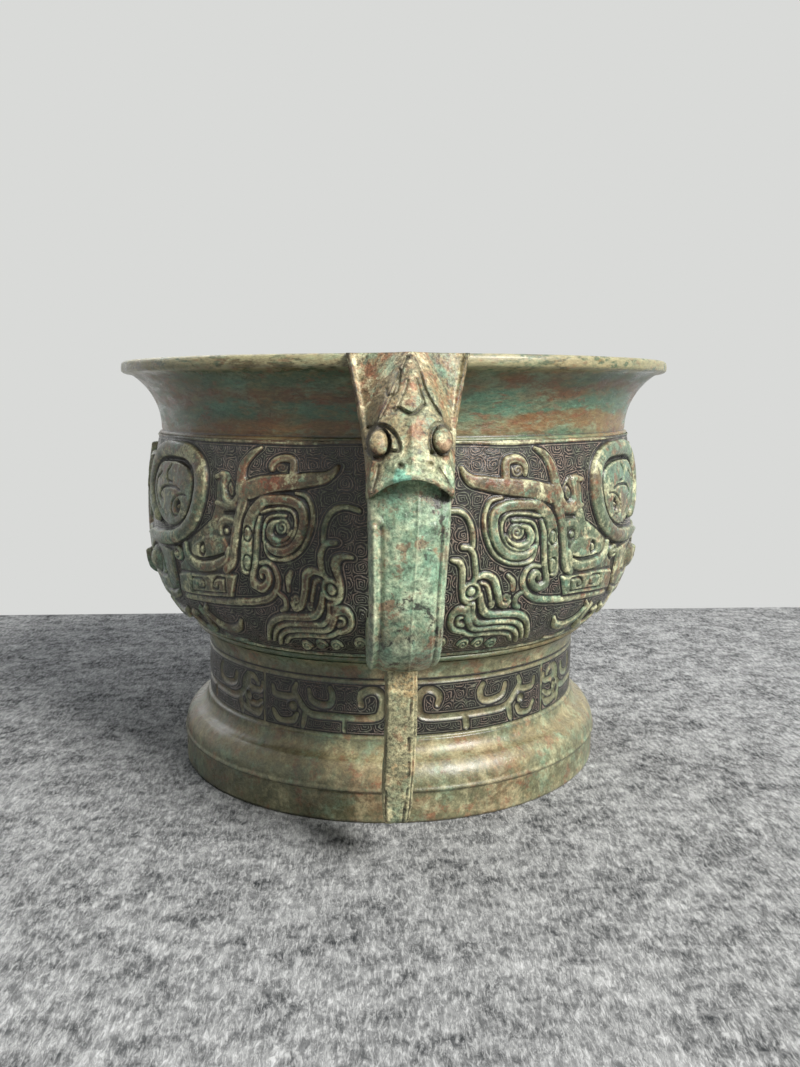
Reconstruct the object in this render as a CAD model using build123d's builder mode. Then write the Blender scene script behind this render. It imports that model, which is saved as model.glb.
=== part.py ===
from build123d import *
from math import atan2, degrees, radians, sin
import os

os.makedirs("parts", exist_ok=True)

# A two-handled ritual food vessel in cast bronze. Millimetres, +Z up.
# The origin is the centre of the foot's resting plane. The handles stand at -Y and +Y
# and the two animal masks of the belly face +X and -X.

# Driving heights, stacked from the table up
foot_height = 51.0
belly_height = 70.5
neck_height = 26.0

# Bowl: the rim's radius, and how far each lower feature stands in from the one above
rim_radius = 100.0
neck_inset = 13.6
belly_swell = 3.6
belly_tuck = 15.5
belly_turn_inset = 0.75
belly_middle_drop = 27.5
belly_turn_drop = 14.0
belly_foot_rise = 2.6
wall = 4.0
lip_height = 4.0
lip_width = 4.6
lip_overhang = 3.6
lip_slope = 0.6
lip_round = 1.0
neck_rise = 3.0
frieze_step = 1.2
border_rise = 0.8
border_width = 1.4

# Floor of the bowl
floor_rise = 1.2
floor_thickness = 5.0
floor_edge_inset = 12.5
floor_edge_rise = 1.8

# Seat between the bowl and its ring foot
seat_inset = 1.3
seat_width = 4.7
spigot_wall = 4.0
spigot_depth = 5.0
spigot_clearance = 0.05

# Ring foot
foot_neck_inset = 2.8
foot_crown_height = 5.4
foot_frieze_height = 20.4
foot_wall = 4.0
foot_spread = 9.1
plinth_height = 10.6
plinth_ledge = 0.6
flare_spread = 5.2
flare_drop = 5.8

# Handle straps, round a loop that stands out from the belly
strap_width = 19.5
strap_thickness = 9.0
strap_crown = 1.2
strap_round = 1.0
finger_room = 30.0
strap_upper_radius = 60.0
strap_upper_angle = 27.0
strap_upper_drop = 55.5
strap_lower_radius = 18.0
strap_rise = 15.4
bead_radius = 1.4
bead_proud = 0.5
bead_angle = 10.5
bead_end_angle = 70.0
core_width = 11.0
core_thickness = 3.6

# Tenons of the bowl that carry the heads and the straps
tenon_clearance = 0.15
upper_tenon_width = 12.0
upper_tenon_height = 8.0
upper_tenon_drop = 17.5
upper_tenon_length = 14.6
lower_tenon_width = 9.0
lower_tenon_height = 3.4
lower_tenon_length = 22.5

# Beast heads. Each level section gives its drop below the rim, the ears' half width and
# reach, the brow's half width and reach, and the front's reach. Reaches are from the rim's
# radius outwards.
head_sections = (
    (0.0, 16.5, -1.0, 3.0, 6.0, 7.5),
    (11.5, 13.8, 2.0, 6.4, 14.0, 17.0),
    (23.5, 11.8, 10.0, 8.6, 22.5, 26.0),
    (37.0, 11.4, 18.0, 8.0, 31.0, 33.0),
)
head_back_inset = 20.0
ear_hollow = 1.0
eye_drop = 23.5
eye_spacing = 16.8
eye_radius = 3.0
eye_stand = 22.0
mouth_clearance = 0.15
lip_arch_rise = 6.0

# Pendants under the loops, by their reach in from the strap's outermost line
pendant_thickness = 8.6
pendant_outer_inset = 7.5
pendant_foot_inset = 11.5
pendant_width = 20.5
pendant_length = 51.9
pendant_notch_top = 20.4
pendant_notch_length = 16.0
pendant_notch_depth = 7.0
pendant_round = 3.0
pendant_tenon_width = 5.0
pendant_tenon_length = 6.0
pendant_tenon_depth = 2.0
pendant_tenon_inset = 21.5

# Chaplets, the metal spacers that held the floor's core off the mould
chaplet_size = 7.0
chaplet_ring_radius = 34.0
chaplet_count = 5

# Ornament of the belly, cast in relief. Each group gives the azimuth it is drawn square to,
# how far it stands out, and its strokes. A stroke is a width and a line of points, in
# millimetres round the belly from the handle's middle and down it from the frieze's top.
relief_radius = 90.0
relief_length = 68.5
relief_root = 0.6
relief_foot_share = 0.7
relief_clearance = 12.0
relief_groups = (
    # Dragon by the handle, its crest and the spiral that ends the mask's brow
    (
        27.0,
        1.7,
        (
            (3.6, ((18.0, 7.5), (22.0, 11.8), (51.0, 17.0))),
            (4.6, ((50.0, 20.0), (30.0, 19.4), (28.4, 33.0), (42.0, 34.0))),
            (5.6, ((50.0, 20.0), (53.6, 45.6))),
        ),
    ),
    # Jaw, ear and cheek of the mask
    (
        48.0,
        1.7,
        (
            (5.0, ((53.6, 45.6), (84.0, 46.8))),
            (2.8, ((59.0, 31.0), (73.0, 33.0), (60.0, 39.6))),
        ),
    ),
    # Horn
    (
        62.0,
        2.8,
        (
            (7.2, ((98.0, 30.6), (80.0, 30.6), (71.6, 20.0), (75.0, 7.6), (104.0, 7.4), (108.0, 22.0))),
        ),
    ),
    # Eye, cheek plate and lower jaw
    (
        68.0,
        2.8,
        (
            (6.0, ((88.0, 48.0), (118.0, 50.0))),
            (9.0, ((102.0, 40.4), (108.0, 40.4))),
        ),
    ),
)
# Forehead, nose and nostrils, counted round from the mask's middle
mask_middle = (
    90.0,
    4.4,
    (
        (12.0, ((0.0, 11.0), (0.0, 17.0))),
        (7.0, ((0.0, 14.0), (0.0, 46.0))),
        (11.0, ((-12.0, 48.6), (0.0, 46.6), (12.0, 48.6))),
    ),
)

# Heights and radii worked out from the sizes above
seat_z = foot_height
frieze_top_z = seat_z + belly_height
height = frieze_top_z + neck_height
lip_z = height - lip_height
neck_z = frieze_top_z + neck_rise
belly_z = frieze_top_z - belly_middle_drop
belly_turn_z = belly_z - belly_turn_drop
belly_foot_z = seat_z + belly_foot_rise
floor_z = seat_z + floor_rise
neck_radius = rim_radius - neck_inset
frieze_top_radius = neck_radius + frieze_step
belly_radius = neck_radius + belly_swell
belly_foot_radius = belly_radius - belly_tuck
seat_radius = belly_foot_radius - seat_inset
spigot_radius = seat_radius - seat_width
floor_edge_radius = belly_foot_radius - floor_edge_inset
foot_neck_radius = seat_radius - foot_neck_inset
foot_neck_top_z = seat_z - foot_crown_height
foot_neck_bottom_z = foot_neck_top_z - foot_frieze_height
foot_base_radius = foot_neck_radius + foot_spread
flare_radius = foot_neck_radius + flare_spread
flare_z = foot_neck_bottom_z - flare_drop
strap_reach = belly_radius + finger_room + strap_thickness / 2
strap_bottom_z = seat_z + strap_rise
strap_bottom_reach = strap_reach - strap_lower_radius
strap_underside_z = strap_bottom_z - strap_thickness / 2
strap_waist_z = height - strap_upper_drop
upper_tenon_z = height - upper_tenon_drop
upper_tenon_reach = neck_radius + upper_tenon_length
lower_tenon_reach = belly_foot_radius + lower_tenon_length
head_snout_z = height - head_sections[-1][0]
head_front_room = rim_radius + head_sections[-1][-1] - strap_reach + 1
pendant_outer_reach = strap_reach - pendant_outer_inset
pendant_foot_reach = strap_reach - pendant_foot_inset
pendant_inner_reach = pendant_outer_reach - pendant_width
pendant_notch_reach = pendant_inner_reach + pendant_notch_depth
pendant_tenon_reach = strap_reach - pendant_tenon_inset
pendant_foot_z = strap_bottom_z - pendant_length
pendant_notch_top_z = strap_bottom_z - pendant_notch_top
pendant_notch_bottom_z = pendant_notch_top_z - pendant_notch_length
side_plane = Plane(origin=(0, 0, 0), x_dir=(0, -1, 0), z_dir=(-1, 0, 0))
sides = {"front": 0, "back": 180}


def belly_face(grow=0.0):
    """The belly's face between its two raised borders, as lines from the top down."""
    upper = TangentArc(
        (belly_radius + grow, belly_z),
        (frieze_top_radius + grow, frieze_top_z - border_width),
        tangent=(0, 1),
    )
    turn = TangentArc(
        (belly_radius + grow, belly_z),
        (belly_radius + grow - belly_turn_inset, belly_turn_z),
        tangent=(0, -1),
    )
    foot_grow = grow * relief_foot_share
    lower = TangentArc(
        turn @ 1, (belly_foot_radius + foot_grow, belly_foot_z - foot_grow / 2), tangent=turn % 1
    )
    return upper, turn, lower


def outer_face():
    """The bowl's outer face from the lip's top edge down to the seat's outer edge."""
    lip = Line((rim_radius, height), (rim_radius, lip_z))
    under = Line(lip @ 1, (rim_radius - lip_overhang, lip_z - lip_slope))
    TangentArc((neck_radius, neck_z), under @ 1, tangent=(0, 1))
    Polyline(
        (neck_radius, neck_z),
        (neck_radius, frieze_top_z + border_width),
        (frieze_top_radius + border_rise, frieze_top_z + border_width / 2),
        (frieze_top_radius + border_rise, frieze_top_z - border_width / 2),
        (frieze_top_radius, frieze_top_z - border_width),
    )
    belly_face()
    return Polyline(
        (belly_foot_radius, belly_foot_z),
        (belly_foot_radius + border_rise, belly_foot_z - border_width / 2),
        (belly_foot_radius + border_rise, belly_foot_z - border_width),
        (seat_radius, seat_z),
    )


# Outer form of the bowl as a filled solid, which the cast-on pieces are fitted to
with BuildPart() as envelope:
    with BuildSketch(Plane.XZ):
        with BuildLine():
            edge = outer_face()
            Polyline(edge @ 1, (0, seat_z), (0, height), (rim_radius, height))
        make_face()
    revolve(axis=Axis.Z)

# Belly's face from its foot border up to the frieze's top, on which the ornament is placed
with BuildLine() as belly_line:
    belly_face()
ground = Wire(belly_line.line.edges())


def on_belly(around, down, turn):
    """A place of the frieze as it is seen square to the belly, turned from where it counts."""
    spot = ground @ (1 - down / relief_length)
    return Vector(spot.X * sin(around / relief_radius - radians(turn)), spot.Y)


def relief_band(rise):
    """The space between the belly and its ornament's face, with a root in the metal."""
    with BuildPart() as band:
        with BuildSketch(Plane.XZ):
            with BuildLine():
                outer = belly_face(rise)
                inner = belly_face(-relief_root)
                Line(outer[0] @ 1, inner[0] @ 1)
                Line(outer[2] @ 1, inner[2] @ 1)
            make_face()
        revolve(axis=Axis.Z)
    return band.part


def relief_group(azimuth, rise, strokes, counted_from=0.0):
    """One group of the ornament, cut square to the belly at the azimuth."""
    outward = Vector(0, -1, 0).rotate(Axis.Z, azimuth)
    drawn_on = Plane(
        origin=outward * (belly_radius + relief_clearance),
        x_dir=outward.rotate(Axis.Z, 90),
        z_dir=outward,
    )
    with BuildPart() as group:
        with BuildSketch(drawn_on):
            for width, points in strokes:
                spots = [on_belly(around, down, azimuth - counted_from) for around, down in points]
                for start, end in zip(spots, spots[1:]):
                    run = end - start
                    with Locations(start + run / 2):
                        SlotCenterToCenter(run.length, width, rotation=degrees(atan2(run.Y, run.X)))
        extrude(amount=-belly_radius / 2)
        add(relief_band(rise), mode=Mode.INTERSECT)
    return group.part


# Ornament: a quarter of the belly mirrored across the vessel, then the masks' middles
with BuildPart() as ornament:
    for group in relief_groups:
        add(relief_group(*group))
    mirror(about=Plane.XZ)
    add(relief_group(*mask_middle, counted_from=90.0))
    mirror(about=Plane.YZ)

# Bowl before its chaplets: envelope, spigot and tenons, hollowed by its cavity
with BuildPart() as bowl_blank:
    add(envelope)
    with BuildSketch(Plane.XY.offset(seat_z)):
        Circle(spigot_radius)
    extrude(amount=-spigot_depth)
    with BuildSketch(Plane.XZ):
        with BuildLine():
            hollow = Polyline(
                (0, seat_z - spigot_depth),
                (spigot_radius - spigot_wall, seat_z - spigot_depth),
                (spigot_radius - spigot_wall, floor_z + floor_edge_rise - floor_thickness),
            )
            roof = TangentArc((0, floor_z - floor_thickness), hollow @ 1, tangent=(1, 0))
            Line(roof @ 0, hollow @ 0)
        make_face()
    revolve(axis=Axis.Z, mode=Mode.SUBTRACT)
    for turn in sides.values():
        with Locations(Location((0, 0, 0), (0, 0, turn))):
            with Locations((0, -belly_foot_radius, upper_tenon_z)):
                Box(
                    upper_tenon_width,
                    upper_tenon_reach - belly_foot_radius,
                    upper_tenon_height,
                    align=(Align.CENTER, Align.MAX, Align.CENTER),
                )
            with Locations((0, -belly_foot_radius, strap_bottom_z)):
                Box(
                    lower_tenon_width,
                    lower_tenon_reach - belly_foot_radius,
                    lower_tenon_height,
                    align=(Align.CENTER, Align.MAX, Align.CENTER),
                )
    with BuildSketch(Plane.XZ) as cavity_profile:
        with BuildLine():
            floor_line = TangentArc(
                (0, floor_z), (floor_edge_radius, floor_z + floor_edge_rise), tangent=(1, 0)
            )
            inner_turn = TangentArc(
                (belly_radius - wall, belly_z),
                (belly_radius - wall - belly_turn_inset, belly_turn_z),
                tangent=(0, -1),
            )
            TangentArc(inner_turn @ 1, floor_line @ 1, tangent=inner_turn % 1)
            TangentArc(inner_turn @ 0, (neck_radius - wall, neck_z), tangent=(0, 1))
            flare = TangentArc(
                (neck_radius - wall, neck_z), (rim_radius - lip_width, height), tangent=(0, 1)
            )
            Polyline(flare @ 1, (0, height), (0, floor_z))
        make_face()
    revolve(axis=Axis.Z, mode=Mode.SUBTRACT)
    lip_edges = bowl_blank.edges().filter_by(GeomType.CIRCLE).group_by(Axis.Z)[-1]
    fillet(lip_edges, radius=lip_round)

# Chaplets, cut to the floor's own thickness
with BuildPart() as chaplets:
    with Locations((0, 0, floor_z)):
        with PolarLocations(chaplet_ring_radius, chaplet_count):
            Box(chaplet_size, chaplet_size, 3 * floor_thickness)
    add(bowl_blank.part, mode=Mode.INTERSECT)
chaplets.part.label = "floor_chaplets"
export_step(chaplets.part, "parts/floor_chaplets.step")

# Bowl with its ornament on and the chaplets' places left in its floor
with BuildPart() as bowl:
    add(bowl_blank)
    add(ornament)
    add(chaplets.part, mode=Mode.SUBTRACT)
bowl.part.label = "bowl"
export_step(bowl.part, "parts/bowl.step")

# Ring foot: neck, flare and plinth, open below, with a step that takes the spigot
with BuildPart() as ring_foot:
    with BuildSketch(Plane.XZ) as foot_profile:
        with BuildLine():
            crown = TangentArc(
                (foot_neck_radius, foot_neck_top_z), (seat_radius, seat_z), tangent=(0, 1)
            )
            neck = Polyline(
                (foot_neck_radius, foot_neck_top_z),
                (foot_neck_radius + border_rise, foot_neck_top_z),
                (foot_neck_radius + border_rise, foot_neck_top_z - border_width),
                (foot_neck_radius, foot_neck_top_z - border_width),
                (foot_neck_radius, foot_neck_bottom_z + border_width),
                (foot_neck_radius + border_rise, foot_neck_bottom_z + border_width),
                (foot_neck_radius + border_rise, foot_neck_bottom_z),
            )
            hollow_flare = TangentArc(neck @ 1, (flare_radius, flare_z), tangent=(0, -1))
            full_flare = TangentArc(
                (foot_base_radius, plinth_height + border_width),
                (flare_radius, flare_z),
                tangent=(0, 1),
            )
            Polyline(
                full_flare @ 0,
                (foot_base_radius + plinth_ledge, plinth_height + border_width / 2),
                (foot_base_radius + plinth_ledge, plinth_height),
                (foot_base_radius, plinth_height - plinth_ledge),
                (foot_base_radius, 0),
                (foot_base_radius - foot_wall, 0),
                (foot_base_radius - foot_wall, plinth_height - plinth_ledge),
                (foot_neck_radius - foot_wall, foot_neck_bottom_z),
                (foot_neck_radius - foot_wall, seat_z - spigot_depth),
                (spigot_radius + spigot_clearance, seat_z - spigot_depth),
                (spigot_radius + spigot_clearance, seat_z),
                crown @ 1,
            )
        make_face()
    revolve(axis=Axis.Z)
ring_foot.part.label = "ring_foot"
export_step(ring_foot.part, "parts/ring_foot.step")

# Line of the strap's middle: from inside the mouth down and round, and on into the belly
with BuildLine(side_plane) as core_path:
    upper_arc = CenterArc(
        (strap_reach - strap_upper_radius, strap_waist_z),
        strap_upper_radius,
        strap_upper_angle,
        -strap_upper_angle,
    )
    drop = Line(upper_arc @ 1, (strap_reach, strap_bottom_z + strap_lower_radius))
    TangentArc(drop @ 1, (strap_bottom_reach, strap_bottom_z), tangent=drop % 1)
with BuildLine(side_plane) as strap_path:
    add(core_path.line)
    Line((strap_bottom_reach, strap_bottom_z), (belly_foot_radius, strap_bottom_z))

strap_start = Plane(origin=core_path.line @ 0, x_dir=(1, 0, 0), z_dir=core_path.line % 0)


def strap_section(grow=0.0):
    """The strap's section, square to its line, with its crowned outer face on +Y."""
    half = strap_width / 2 + grow
    face = strap_thickness / 2 + grow
    with BuildSketch(strap_start) as section:
        with BuildLine():
            crown = ThreePointArc((-half, face - strap_crown), (0, face), (half, face - strap_crown))
            Polyline(crown @ 1, (half, -face), (-half, -face), crown @ 0)
        make_face()
        fillet(section.vertices(), radius=strap_round)
    return section.sketch


# Clay core left inside the hollow strap
with BuildPart() as clay_core:
    with BuildSketch(strap_start):
        Rectangle(core_width, core_thickness)
    sweep(path=core_path.line)

# Strap before it is hollowed: the section swept round the loop, fitted to the belly
with BuildPart() as strap_blank:
    add(strap_section())
    sweep(path=strap_path.line)
    add(envelope.part, mode=Mode.SUBTRACT)

# Raised bead along each edge of the strap, ending in a round knob
with BuildLine(side_plane) as bead_path:
    bead_arc = CenterArc(
        (strap_reach - strap_upper_radius, strap_waist_z),
        strap_upper_radius,
        bead_angle,
        -bead_angle,
    )
    bead_drop = Line(bead_arc @ 1, (strap_reach, strap_bottom_z + strap_lower_radius))
    CenterArc(
        (strap_bottom_reach, strap_bottom_z + strap_lower_radius),
        strap_lower_radius,
        0,
        -bead_end_angle,
    )
bead_start = Plane(origin=bead_path.line @ 0, x_dir=(1, 0, 0), z_dir=bead_path.line % 0)
bead_offset = strap_width / 2 - bead_radius + bead_proud
with BuildPart() as beads:
    with BuildSketch(bead_start):
        with Locations(
            (-bead_offset, strap_thickness / 2 - strap_crown),
            (bead_offset, strap_thickness / 2 - strap_crown),
        ):
            Circle(bead_radius)
    sweep(path=bead_path.line)
    with Locations(bead_start):
        with Locations(
            (-bead_offset, strap_thickness / 2 - strap_crown),
            (bead_offset, strap_thickness / 2 - strap_crown),
        ):
            Sphere(bead_radius + bead_proud)

# Pendant: a plate that hangs under the loop, notched behind, with a tenon in the strap
with BuildPart() as pendant:
    with BuildSketch(side_plane) as pendant_side:
        with BuildLine():
            Polyline(
                (pendant_inner_reach, strap_bottom_z),
                (pendant_outer_reach, strap_bottom_z),
                (pendant_outer_reach, pendant_notch_top_z),
                (pendant_foot_reach, pendant_foot_z),
                (pendant_inner_reach + pendant_round, pendant_foot_z),
                (pendant_inner_reach, pendant_notch_bottom_z),
                (pendant_notch_reach, pendant_notch_bottom_z + pendant_round),
                (pendant_notch_reach, pendant_notch_top_z - pendant_round),
                (pendant_inner_reach, pendant_notch_top_z),
                close=True,
            )
        make_face()
        below_strap = pendant_side.vertices().filter_by_position(
            Axis.Y, pendant_foot_z, pendant_notch_top_z
        )
        fillet(below_strap, radius=pendant_round / 2)
    extrude(amount=pendant_thickness / 2, both=True)
    add(strap_blank.part, mode=Mode.SUBTRACT)
    with Locations((0, -pendant_tenon_reach, strap_underside_z)):
        Box(
            pendant_tenon_width,
            pendant_tenon_length,
            pendant_tenon_depth,
            align=(Align.CENTER, Align.CENTER, Align.MIN),
        )

# Strap: beads on, and the places of the core, the pendant's tenon and the belly's tenon out
with BuildPart() as strap:
    add(strap_blank)
    add(beads)
    add(clay_core.part, mode=Mode.SUBTRACT)
    add(pendant.part, mode=Mode.SUBTRACT)
    with Locations((0, -belly_foot_radius, strap_bottom_z)):
        Box(
            lower_tenon_width + 2 * tenon_clearance,
            lower_tenon_reach + tenon_clearance - belly_foot_radius,
            lower_tenon_height + 2 * tenon_clearance,
            align=(Align.CENTER, Align.MAX, Align.CENTER),
            mode=Mode.SUBTRACT,
        )


def head_section(drop, ear_half_width, ear_reach, brow_half_width, brow_reach, front_reach):
    """A level section of the head: flat back and sides, hollow ears and a bulging brow."""
    ear_y = -rim_radius - ear_reach
    brow_y = -rim_radius - brow_reach
    back_y = -rim_radius + head_back_inset
    hollow_x = (ear_half_width + brow_half_width) / 2 - ear_hollow
    hollow_y = (ear_y + brow_y) / 2 + ear_hollow
    with BuildSketch(Plane.XY.offset(height - drop)) as section:
        with BuildLine():
            Polyline(
                (-ear_half_width, ear_y),
                (-ear_half_width, back_y),
                (ear_half_width, back_y),
                (ear_half_width, ear_y),
            )
            ThreePointArc((ear_half_width, ear_y), (hollow_x, hollow_y), (brow_half_width, brow_y))
            ThreePointArc(
                (brow_half_width, brow_y),
                (0, -rim_radius - front_reach),
                (-brow_half_width, brow_y),
            )
            ThreePointArc((-brow_half_width, brow_y), (-hollow_x, hollow_y), (-ear_half_width, ear_y))
        make_face()
    return section.sketch


# Head: level sections lofted from the rim down to the snout, then fitted and opened
with BuildPart() as head:
    for section in head_sections:
        add(head_section(*section))
    loft()
    add(envelope.part, mode=Mode.SUBTRACT)
    for side in (-1, 1):
        with Locations((side * eye_spacing / 2, -rim_radius - eye_stand, height - eye_drop)):
            Sphere(eye_radius)
    # Socket over the bowl's upper tenon
    with Locations((0, -belly_foot_radius, upper_tenon_z)):
        Box(
            upper_tenon_width + 2 * tenon_clearance,
            upper_tenon_reach + tenon_clearance - belly_foot_radius,
            upper_tenon_height + 2 * tenon_clearance,
            align=(Align.CENTER, Align.MAX, Align.CENTER),
            mode=Mode.SUBTRACT,
        )
    # Mouth, which takes the upper end of the strap
    add(strap_section(mouth_clearance))
    sweep(path=upper_arc, mode=Mode.SUBTRACT)
    # Arched upper lip
    with BuildSketch(Plane.XZ.offset(strap_reach)):
        with Locations((0, head_snout_z)):
            Ellipse(strap_width / 2 + mouth_clearance, lip_arch_rise)
    extrude(amount=head_front_room, mode=Mode.SUBTRACT)

# Each side of the vessel has the same head, strap, core and pendant
cast_on = {"beast_head": head, "handle": strap, "handle_core": clay_core, "pendant": pendant}
for side, turn in sides.items():
    for name, shape in cast_on.items():
        with BuildPart() as piece:
            add(shape.part, rotation=(0, 0, turn))
        piece.part.label = f"{name}_{side}"
        export_step(piece.part, f"parts/{name}_{side}.step")
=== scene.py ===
import bpy
import math
import numpy as np
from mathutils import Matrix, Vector


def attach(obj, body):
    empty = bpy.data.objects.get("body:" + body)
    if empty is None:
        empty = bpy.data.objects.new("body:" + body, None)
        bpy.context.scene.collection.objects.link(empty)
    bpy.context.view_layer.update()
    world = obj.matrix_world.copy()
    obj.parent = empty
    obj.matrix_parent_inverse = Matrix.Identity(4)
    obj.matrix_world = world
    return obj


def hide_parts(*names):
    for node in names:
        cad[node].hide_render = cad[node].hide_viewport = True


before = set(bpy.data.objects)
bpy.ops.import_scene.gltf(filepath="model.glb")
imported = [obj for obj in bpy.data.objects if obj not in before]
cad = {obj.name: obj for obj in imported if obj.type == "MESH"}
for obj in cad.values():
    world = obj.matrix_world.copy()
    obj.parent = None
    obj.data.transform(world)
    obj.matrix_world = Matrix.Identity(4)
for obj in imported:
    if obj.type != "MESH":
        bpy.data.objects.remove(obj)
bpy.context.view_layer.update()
scene = bpy.context.scene
MM = 0.001

# ---------------------------------------------------------------- sizes, in millimetres
HEIGHT = 147.5
RIM_R = 100.0
LIP_Z = 143.5
LIP_INNER_R = 95.4
UNDER_R, UNDER_Z = 96.4, 142.9
NECK_R, NECK_Z = 86.4, 124.5
FRIEZE_Z, FRIEZE_R = 122.4, 87.2
BELLY_R, BELLY_Z = 90.0, 94.0
TURN_R, TURN_Z = 89.25, 80.0
BELLY_FOOT_R, BELLY_FOOT_Z = 74.5, 53.6
SEAT_R, SEAT_Z = 73.2, 51.0
SPIGOT_R, SPIGOT_Z = 68.5, 46.1
WALL = 4.0
FLOOR_Z, FLOOR_EDGE_R, FLOOR_EDGE_Z = 52.2, 62.0, 54.0
FOOT_NECK_R, FOOT_TOP_Z, FOOT_LOW_Z = 70.4, 45.6, 25.2
FLARE_R, FLARE_Z = 75.6, 19.4
BASE_R, PLINTH_Z = 79.5, 10.6
STRAP_W, STRAP_T = 19.5, 9.0
STRAP_REACH, WAIST_Z = 124.5, 92.0
UPPER_R, UPPER_ANGLE = 60.0, 24.0
LOWER_R, BOTTOM_Z = 18.0, 66.4
SAG = 2.6  # the lower bend hangs a little below its designed line
# The casting leans a little to one side above its foot, and its handles a little more
LEAN, LEAN_FROM_Z = 0.014, 55.0
OWN_LEAN, OWN_LEAN_FROM_Z = 0.016, 124.0
QUARTER = BELLY_R * math.pi / 2
FOOT_QUARTER = FOOT_NECK_R * math.pi / 2
GRID = 0.33  # cells of the belly's relief
FRIEZE_TOP, FRIEZE_LOW = 0.2, 68.6  # rows of the drawn frieze, down from its top


# ---------------------------------------------------------------- small geometry helpers
def arc(start, end, tangent, count):
    """Points of the circular arc that leaves start along the tangent and reaches end."""
    s, e, t = (np.array(p, float) for p in (start, end, tangent))
    t /= np.linalg.norm(t)
    n = np.array((-t[1], t[0]))
    d = e - s
    k = 2 * d.dot(n) / d.dot(d)
    turn = 2 * math.atan2(t[0] * d[1] - t[1] * d[0], t.dot(d))
    f = np.linspace(0, 1, count)[:, None]
    if abs(k) < 1e-9:
        return s + f * d
    return s + np.sin(turn * f) / k * t + (1 - np.cos(turn * f)) / k * n


def end_tangent(points):
    d = points[-1] - points[-2]
    return d / np.linalg.norm(d)


def lengths_along(points):
    """Length along a line of points up to each of them."""
    steps = np.linalg.norm(np.diff(points, axis=0), axis=1)
    return np.concatenate(([0], np.cumsum(steps)))


def resample(points, step):
    """The line's points again, evenly spaced along it, about a step apart."""
    p = np.asarray(points, float)
    apart = np.linalg.norm(np.diff(p, axis=0), axis=1) > 1e-6
    p = p[np.concatenate(([True], apart))]
    s = lengths_along(p)
    at = np.linspace(0, s[-1], max(2, int(round(s[-1] / step)) + 1))
    return np.stack([np.interp(at, s, p[:, i]) for i in range(p.shape[1])], 1)


def smooth_line(points, per=7):
    """A Catmull-Rom curve through the points. Columns after the second go along with it."""
    p = np.asarray(points, float)
    if len(p) < 3:
        f = np.linspace(0, 1, per * 2)[:, None]
        return p[0] + f * (p[-1] - p[0])
    p = np.vstack((2 * p[0] - p[1], p, 2 * p[-1] - p[-2]))
    out = []
    for a, b, c, d in zip(p, p[1:], p[2:], p[3:]):
        for f in np.linspace(0, 1, per, endpoint=False):
            out.append(
                0.5 * (2 * b + (c - a) * f + (2 * a - 5 * b + 4 * c - d) * f**2
                       + (3 * b - a - 3 * c + d) * f**3)
            )
    out.append(p[-2])
    return np.array(out)


def sstep(x, lo, hi):
    """0 below lo and 1 above hi, smooth between."""
    t = np.clip((x - lo) / (hi - lo), 0, 1)
    return t * t * (3 - 2 * t)


def hump(x, width):
    """A bell curve of height 1 round x = 0."""
    return np.exp(-((x / width) ** 2))


def noise(points, size, seed):
    """Smooth noise of about -1 to 1 at the 3-D points, with features of the given size."""
    q = np.asarray(points, float) / size + 100.0
    i = np.floor(q).astype(int)
    f = q - i
    f = f * f * (3 - 2 * f)
    n = 29
    table = np.random.default_rng(seed).random((n, n, n))
    total = 0
    for corner in np.ndindex(2, 2, 2):
        wx, wy, wz = (f[..., k] if c else 1 - f[..., k] for k, c in enumerate(corner))
        at = tuple((i[..., k] + c) % n for k, c in enumerate(corner))
        total = total + wx * wy * wz * table[at]
    return total * 2 - 1


def blur(field, cells, wrap=False):
    """A box blur of a height field, twice, a number of cells each way."""
    out = field
    w = 2 * cells + 1
    for _ in range(2):
        for axis in (0, 1):
            pad = [(0, 0), (0, 0)]
            pad[axis] = (cells, cells)
            p = np.pad(out, pad, mode="wrap" if wrap and axis == 1 else "edge")
            c = np.cumsum(p, axis)
            c = np.concatenate((np.zeros_like(np.take(c, [0], axis)), c), axis)
            n = out.shape[axis]
            out = (np.take(c, range(w, w + n), axis) - np.take(c, range(0, n), axis)) / w
    return out


def grid_faces(rows, cols, close=False, flip=False):
    """Quads of a grid of points, closed round its columns when asked."""
    r = np.arange(rows - 1)[:, None]
    c = np.arange(cols if close else cols - 1)[None, :]
    c2 = (c + 1) % cols
    a, b, d, e = r * cols + c, r * cols + c2, (r + 1) * cols + c2, (r + 1) * cols + c
    return np.stack([x.ravel() for x in ((a, e, d, b) if flip else (a, b, d, e))], 1)


def grid_normals(p, close=False):
    """Normals of a grid of points, rows down and columns round."""
    du = np.roll(p, -1, 1) - np.roll(p, 1, 1) if close else np.gradient(p, axis=1)
    n = np.cross(du, np.gradient(p, axis=0))
    return n / np.maximum(np.linalg.norm(n, axis=2, keepdims=True), 1e-9)


def round_axis(r, z, a):
    """Points at the radii, heights and angles, counted from the front handle's middle."""
    return np.stack((r * np.sin(a), -r * np.cos(a), z + 0 * a), 2)


def leaning(points):
    """The points as the old casting leans."""
    p = np.array(points, float).reshape(-1, 3)
    p[:, 0] += LEAN * (p[:, 2] - LEAN_FROM_Z)
    return p


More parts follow.
